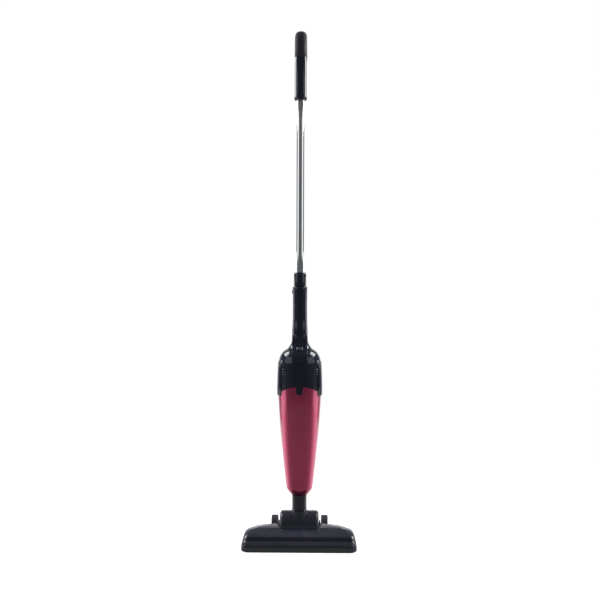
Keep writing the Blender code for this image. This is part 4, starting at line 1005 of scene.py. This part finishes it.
def latch_outline(grow=0.0):
    half = TONGUE_HALF + grow
    points = arc((0, LATCH_OVAL_Z), (LATCH_OVAL[0] + grow, LATCH_OVAL[1] + grow), -48, 228, 64)
    points += [(-half, TONGUE_TOP), (-half, TONGUE_TIP)]
    points += arc((0, TONGUE_TIP), (half, 0.0065 + grow), 184, 356, 28)
    points += [(half, TONGUE_TIP), (half, TONGUE_TOP)]
    return points


def cup_latch():
    """A flat oval button with a rounded rim, its tongue, core and ear."""
    pivot_y, pivot_z = LATCH_PIVOT
    latch = bevelled(prism("latch", latch_outline(), "Y", LATCH_FACE, LATCH_FACE + 0.0023), 0.0008, 4, 60)
    core = arc((0, LATCH_OVAL_Z), LATCH_CORE, -35, 215, 40)
    low = (-0.0030, pivot_y - 0.0030, pivot_z - 0.0026)
    high = (0.0030, pivot_y + 0.0026, pivot_z + 0.0026)
    join(latch, prism("core", core, "Y", LATCH_FACE + 0.0016, LATCH_FACE + 0.0044), box("ear", low, high))
    cut(latch, rod("bore", 0.0013, (-0.02, pivot_y, pivot_z), (0.02, pivot_y, pivot_z)))
    finish_piece(latch, "latch", "black_gloss", "cup_latch")


def switch_matrix():
    """Moves a shape drawn flat, Y up the slope and Z out of it, on to the band's slope."""
    slope = Vector((0, math.cos(SWITCH_SLOPE), math.sin(SWITCH_SLOPE)))
    outward = Vector((0, -math.sin(SWITCH_SLOPE), math.cos(SWITCH_SLOPE)))
    turn = Matrix((Vector((1, 0, 0)), slope, outward)).transposed().to_4x4()
    return Matrix.Translation((0, *SWITCH_CENTRE)) @ turn


def sloped_box(name, low, high):
    made = box(name, low, high)
    made.data.transform(switch_matrix())
    return made


def power_switch():
    """A thumb slider, crowned across, with grip ridges."""
    rings = []
    domed = ((-0.0030, 0), (0.0008, 0), (0.0018, -0.0004), (0.0025, -0.0012), (0.0030, -0.0030))
    for z, grow in domed:
        outline = oval(SWITCH_HALF[0] + grow, SWITCH_HALF[1] + grow, 72, 5.0)
        rings.append([(x, y - 0.0001, z) for x, y in outline])
    thumb = loft("thumb_slider", rings)
    ridges = []
    for i in range(5):
        y = -0.0028 + 0.0014 * i
        ridges.append(rod("ridge", 0.0003, (-0.0036, y, 0.00292), (0.0036, y, 0.00292), 12))
    join(thumb, *ridges)
    thumb.data.transform(switch_matrix())
    finish_piece(thumb, "switch", "switch_grey", "power_switch")


def button_outline(grow, count):
    return [(v, u + BUTTON_Z) for u, v in oval(BUTTON_HALF[0] + grow, BUTTON_HALF[1] + grow, count)]


def wand_button():
    button = prism("release_button", button_outline(0.0, 48), "X", -0.0168, -0.0127)
    button = bevelled(button, 0.0008, 4, 60)
    finish_piece(button, "button", "black_gloss", "wand_release_button")


def cord_gland():
    """A ribbed rubber bush that the cord would leave by."""
    profile = [(0.0030, 0.0080), (0.0036, 0.0080)]
    for i in range(4):
        z = 0.0070 - 0.0016 * i
        wide = 0.0040 + 0.0002 * i
        profile += [(wide, z), (wide, z - 0.0008), (wide - 0.0005, z - 0.0009), (wide - 0.0005, z - 0.0015)]
    profile += [(0.0060, 0.0008), (0.0060, 0.0), (0.0049, -0.0005), (0.0049, -0.0065), (0.0030, -0.0065)]
    at = (0, sharp_housing_half(GLAND_Z) + 0.0016, GLAND_Z)
    finish_piece(turned("gland", profile, 64, at, "Y"), "motor_unit", "seal_rubber", "cord_gland")


def hook_outline(reach, tip):
    thick = 0.0045
    up = math.copysign(1, tip)
    return [
        (0.0, up * thick / 2),
        (0.0, -up * thick / 2),
        (reach - 0.002, -up * thick / 2),
        (reach, -up * (thick / 2 - 0.002)),
        (reach, tip),
        (reach - thick * 0.7, tip),
        (reach - thick, up * thick / 2),
    ]


def hook(name, foot_y, z, tip):
    outline = [(foot_y + u, z + v) for u, v in hook_outline(HOOK_REACH, tip)]
    return bevelled(prism(name, outline, "X", -HOOK_HALF, HOOK_HALF), 0.0010)


def cord_hooks():
    lower = hook("lower_hook", sharp_housing_half(HOOK_Z) + 0.0014, HOOK_Z, -0.020)
    finish_piece(lower, "motor_unit", "black_gloss", "lower_cord_hook")
    upper = hook("upper_hook", SLEEVE_HALF[1] + 0.0004, UPPER_HOOK_Z, 0.024)
    join(upper, rod("stem", 0.0021, (0, 0.0098, UPPER_HOOK_Z), (0, 0.0165, UPPER_HOOK_Z)))
    finish_piece(upper, "hook", "black_gloss", "upper_cord_hook")


# ---- Wand and handle ----
def wand():
    inner = TUBE_RADIUS - TUBE_WALL
    tube = [(TUBE_RADIUS, TUBE_TOP), (TUBE_RADIUS, TUBE_BOTTOM), (inner, TUBE_BOTTOM), (inner, TUBE_TOP)]
    finish_piece(turned("tube", rounded(tube, 0.0003, 3)), "wand", "chrome", "wand_tube")
    bore = TUBE_RADIUS + GAP
    profile = [
        (COLLAR_RADIUS - 0.0022, COLLAR_TOP),
        (COLLAR_RADIUS, COLLAR_TOP - 0.0030),
        (COLLAR_RADIUS, NECK_TOP + GAP),
        (PLUG_RADIUS, NECK_TOP + GAP),
        (PLUG_RADIUS, PLUG_BOTTOM),
        (0.0068, PLUG_BOTTOM),
        (0.0068, TUBE_BOTTOM - 0.0005),
        (bore, TUBE_BOTTOM - 0.0005),
        (bore, COLLAR_TOP),
    ]
    ferrule = turned("ferrule", rounded(profile, 0.0010, 5))
    # 0.1 mm deeper than in the CAD, so that the pressed button stays clear of the ferrule
    cut(ferrule, box("keyway", (-0.0150, -0.0035, 0.4700), (-0.0101, 0.0035, NECK_TOP)))
    finish_piece(ferrule, "wand", "black_gloss", "wand_ferrule")


def cane_bend(angle):
    """A point of the bend's centre line, and the way it heads."""
    return CANE_RADIUS * (1 - math.cos(angle)), SLEEVE_TOP + CANE_RADIUS * math.sin(angle), angle


def cane_path(end_trim=0.0, steps=40):
    """Centre line of the handle: round the bend, then straight down and back."""
    points = [(0.0, SLEEVE_TOP, 0.0)]
    points += [cane_bend(CANE_TURN * i / steps) for i in range(1, steps + 1)]
    y, z, angle = points[-1]
    for share in span(0, 1, 8)[1:]:
        reach = (CANE_STRAIGHT - end_trim) * share
        points.append((y + reach * math.sin(angle), z + reach * math.cos(angle), angle))
    return points


def cane_ring(y, z, angle, half, count, power=2.0):
    points = oval(half[0], half[1], count, power)
    return [(u, y + v * math.cos(angle), z - v * math.sin(angle)) for u, v in points]


def handle_body():
    stations = [
        (SLEEVE_BOTTOM, -0.0012),
        (SLEEVE_BOTTOM + 0.0012, 0.0007),
        (SLEEVE_BOTTOM + 0.0070, 0.0009),
        (SLEEVE_BOTTOM + 0.0085, 0.0),
        (0.9900, 0.0),
        (SLEEVE_TOP - 0.0015, 0.0),
        (SLEEVE_TOP - GAP, -0.0010),
    ]
    rings = []
    for z, grow in softened(stations, 4, 0.3):
        outline = oval(SLEEVE_HALF[0] + grow, SLEEVE_HALF[1] + grow, 96, 2.3)
        rings.append([(u, v, z) for u, v in outline])
    body = loft("sleeve", rings)
    core = [[(u, v, SLEEVE_TOP - 0.010) for u, v in oval(*CORE_HALF, 24)]]
    core += [cane_ring(*point, CORE_HALF, 24) for point in cane_path(0.008, 20)]
    join(body, loft("core", core))
    end = (0, 0.020, HANDLE_SCREW_Z)
    cutters = [
        rod("bore", TUBE_RADIUS + GAP, (0, 0, 0.940), (0, 0, TUBE_TOP + GAP)),
        rod("stem_hole", 0.0024, (0, 0.0094, UPPER_HOOK_Z), (0, 0.020, UPPER_HOOK_Z), 32),
        rod("screw_hole", 0.0016, (0, 0.0095, HANDLE_SCREW_Z), end, 24),
        rod("screw_sink", 0.0030, (0, 0.0125, HANDLE_SCREW_Z), end, 40),
    ]
    finish_piece(cut(body, *cutters), "wand", "black_gloss", "handle_body")


def handle_grip():
    """The rubber cane, with a rounded end and a shallow groove near its foot."""
    groove = []
    foot = [(0.0, -0.0004), (0.0008, 0.0), (0.0050, 0.0)]
    for along, grow in foot + [(0.0056, -0.0005), (0.0066, -0.0005), (0.0072, 0.0)]:
        half = (GRIP_HALF[0] + grow, GRIP_HALF[1] + grow)
        groove.append(cane_ring(*cane_bend(along / CANE_RADIUS), half, 72, GRIP_POWER))
    path = cane_path()
    past_groove = [point for point in path if point[2] * CANE_RADIUS > 0.0075]
    bent = [cane_ring(*point, GRIP_HALF, 72, GRIP_POWER) for point in past_groove]
    y, z, angle = path[-1]
    end = []
    for i in range(1, 10):
        turn = math.radians(9.6 * i)
        reach, share = 0.0100 * math.sin(turn), max(0.16, math.cos(turn) ** 0.8)
        half = (GRIP_HALF[0] * share, GRIP_HALF[1] * share)
        point = (y + reach * math.sin(angle), z + reach * math.cos(angle), angle)
        end.append(cane_ring(*point, half, 72, GRIP_POWER))
    grip = loft("grip", groove + bent + end)
    half = (CORE_HALF[0] + GAP, CORE_HALF[1] + GAP)
    bore = [[(u, v, SLEEVE_TOP - 0.010) for u, v in oval(*half, 24)]]
    bore += [cane_ring(*point, half, 24) for point in cane_path(0.0076, 20)]
    cut(grip, loft("bore", bore))
    finish_piece(grip, "wand", "grip_rubber", "handle_grip")


# ---- Kept CAD nodes ----
def paint_kept_nodes():
    """The CAD nodes that still show get the material of their slot, and smooth round faces."""
    slots = {part["node"]: part["material_slot"] for part in frame["record"]["subparts"]}
    for name, node in frame["nodes"].items():
        if node.hide_render:
            continue
        node.data.materials.clear()
        node.data.materials.append(MATERIALS[slots[name]])
        node.data.shade_smooth()
        node.data.set_sharp_from_angle(angle=NODE_SHARP)


# ---- Studio ----
def area_light(name, at, size, power, aim):
    data = bpy.data.lights.new(name, "AREA")
    data.shape = "RECTANGLE"
    data.size, data.size_y = size
    data.energy = power
    light = bpy.data.objects.new(name, data)
    SCENE.collection.objects.link(light)
    light.location = at
    light.rotation_euler = (Vector(aim) - Vector(at)).to_track_quat("-Z", "Y").to_euler()
    light.visible_camera = False


def depth_axis(tree, kind):
    return add_node(tree, "SeparateXYZ", {"Vector": coordinates(tree, kind)}).outputs["Y"]


def world():
    """White behind the object and a dark room in front of it; the background itself is white."""
    made = bpy.data.worlds.new("studio")
    SCENE.world = made
    made.use_nodes = True
    tree = made.node_tree
    room = tree.nodes["Background"]
    level = remapped(tree, depth_axis(tree, "Generated"), ROOM_LEVEL, BACKDROP_LEVEL, 0.68, 0.95)
    set_inputs(tree, room, {"Color": (0.94, 0.96, 1.0, 1), "Strength": level})
    white = add_node(tree, "Background", {"Color": (1, 1, 1, 1)})
    camera_ray = add_node(tree, "LightPath", {}).outputs["Is Camera Ray"]
    parts = {"Fac": camera_ray, 1: room.outputs["Background"], 2: white.outputs["Background"]}
    mix = add_node(tree, "MixShader", parts)
    set_inputs(tree, tree.nodes["World Output"], {"Surface": mix.outputs["Shader"]})


def floor():
    """A disc that glows white to the camera and, brighter behind, in what mirrors it."""
    material, tree, shader = new_material("studio_floor", (0.55, 0.55, 0.55), 0.35)
    add_polish(tree, shader, noise(tree, 6, 3), 0.30, 0.40)
    ray = add_node(tree, "LightPath", {}).outputs
    mirrored = remapped(tree, depth_axis(tree, "Object"), FLOOR_FRONT, FLOOR_BACK, -0.16, 0.16)
    seen = remapped(tree, ray["Is Camera Ray"], 0.0, FLOOR_GLOW, 0.0, 1.0)
    inputs = {0: ray["Is Glossy Ray"], 1: mirrored, 2: seen}
    strength = add_node(tree, "Math", inputs, operation="MULTIPLY_ADD").outputs["Value"]
    glow = add_node(tree, "Emission", {"Strength": strength})
    both = add_node(tree, "AddShader", {0: shader.outputs["BSDF"], 1: glow.outputs["Emission"]})
    set_inputs(tree, tree.nodes["Material Output"], {"Surface": both.outputs["Shader"]})
    made = turned("studio_floor", [(0, -0.0002), (1.4, -0.0002)], 96, closed=False)
    made.data.materials.append(material)


def camera():
    """Two metres in front of the centre line, a little lower than the object's middle."""
    distance, height, view_width = 2.0, 0.525, 1.2828
    azimuth, roll = math.radians(0.8), 0.0032
    data = bpy.data.cameras.new("camera")
    data.sensor_width = 36
    data.lens = data.sensor_width * distance / view_width
    made = bpy.data.objects.new("camera", data)
    SCENE.collection.objects.link(made)
    at = Vector((distance * math.sin(azimuth), CENTRE_Y - distance * math.cos(azimuth), height))
    turn = Matrix.Rotation(azimuth, 4, "Z") @ Matrix.Rotation(math.pi / 2, 4, "X")
    made.matrix_world = Matrix.Translation(at) @ turn @ Matrix.Rotation(roll, 4, "Z")
    SCENE.camera = made


def studio():
    world()
    floor()
    for side, word in sides():
        for kind, degrees, distance, z, size, radiance in STUDIO_LIGHTS:
            angle = math.radians(degrees)
            x, y = side * distance * math.sin(angle), -distance * math.cos(angle)
            power = radiance * math.pi * size[0] * size[1]
            aim = (0, CENTRE_Y, min(z, 0.45))
            area_light(f"{kind}_{word}", (x, CENTRE_Y + y, z), size, power, aim)
    camera()
    SCENE.view_settings.view_transform = "Standard"


def build():
    base_plate()
    corner_plugs()
    strip_of_tufts("front_tufts", BRISTLE_Y[0], 0.0021, 0.0008, "front_brush_strip")
    strip_of_tufts("rear_tufts", BRISTLE_Y[1], 0.0015, 0.0007, "rear_lint_strip")
    nozzle_cover()
    pivot_pins()
    wheels()
    swivel_barrel()
    neck_pipe()
    cup_shell()
    housings()
    side_trims()
    cup_latch()
    power_switch()
    wand_button()
    cord_gland()
    cord_hooks()
    wand()
    handle_body()
    handle_grip()
    paint_kept_nodes()
    studio()


build()
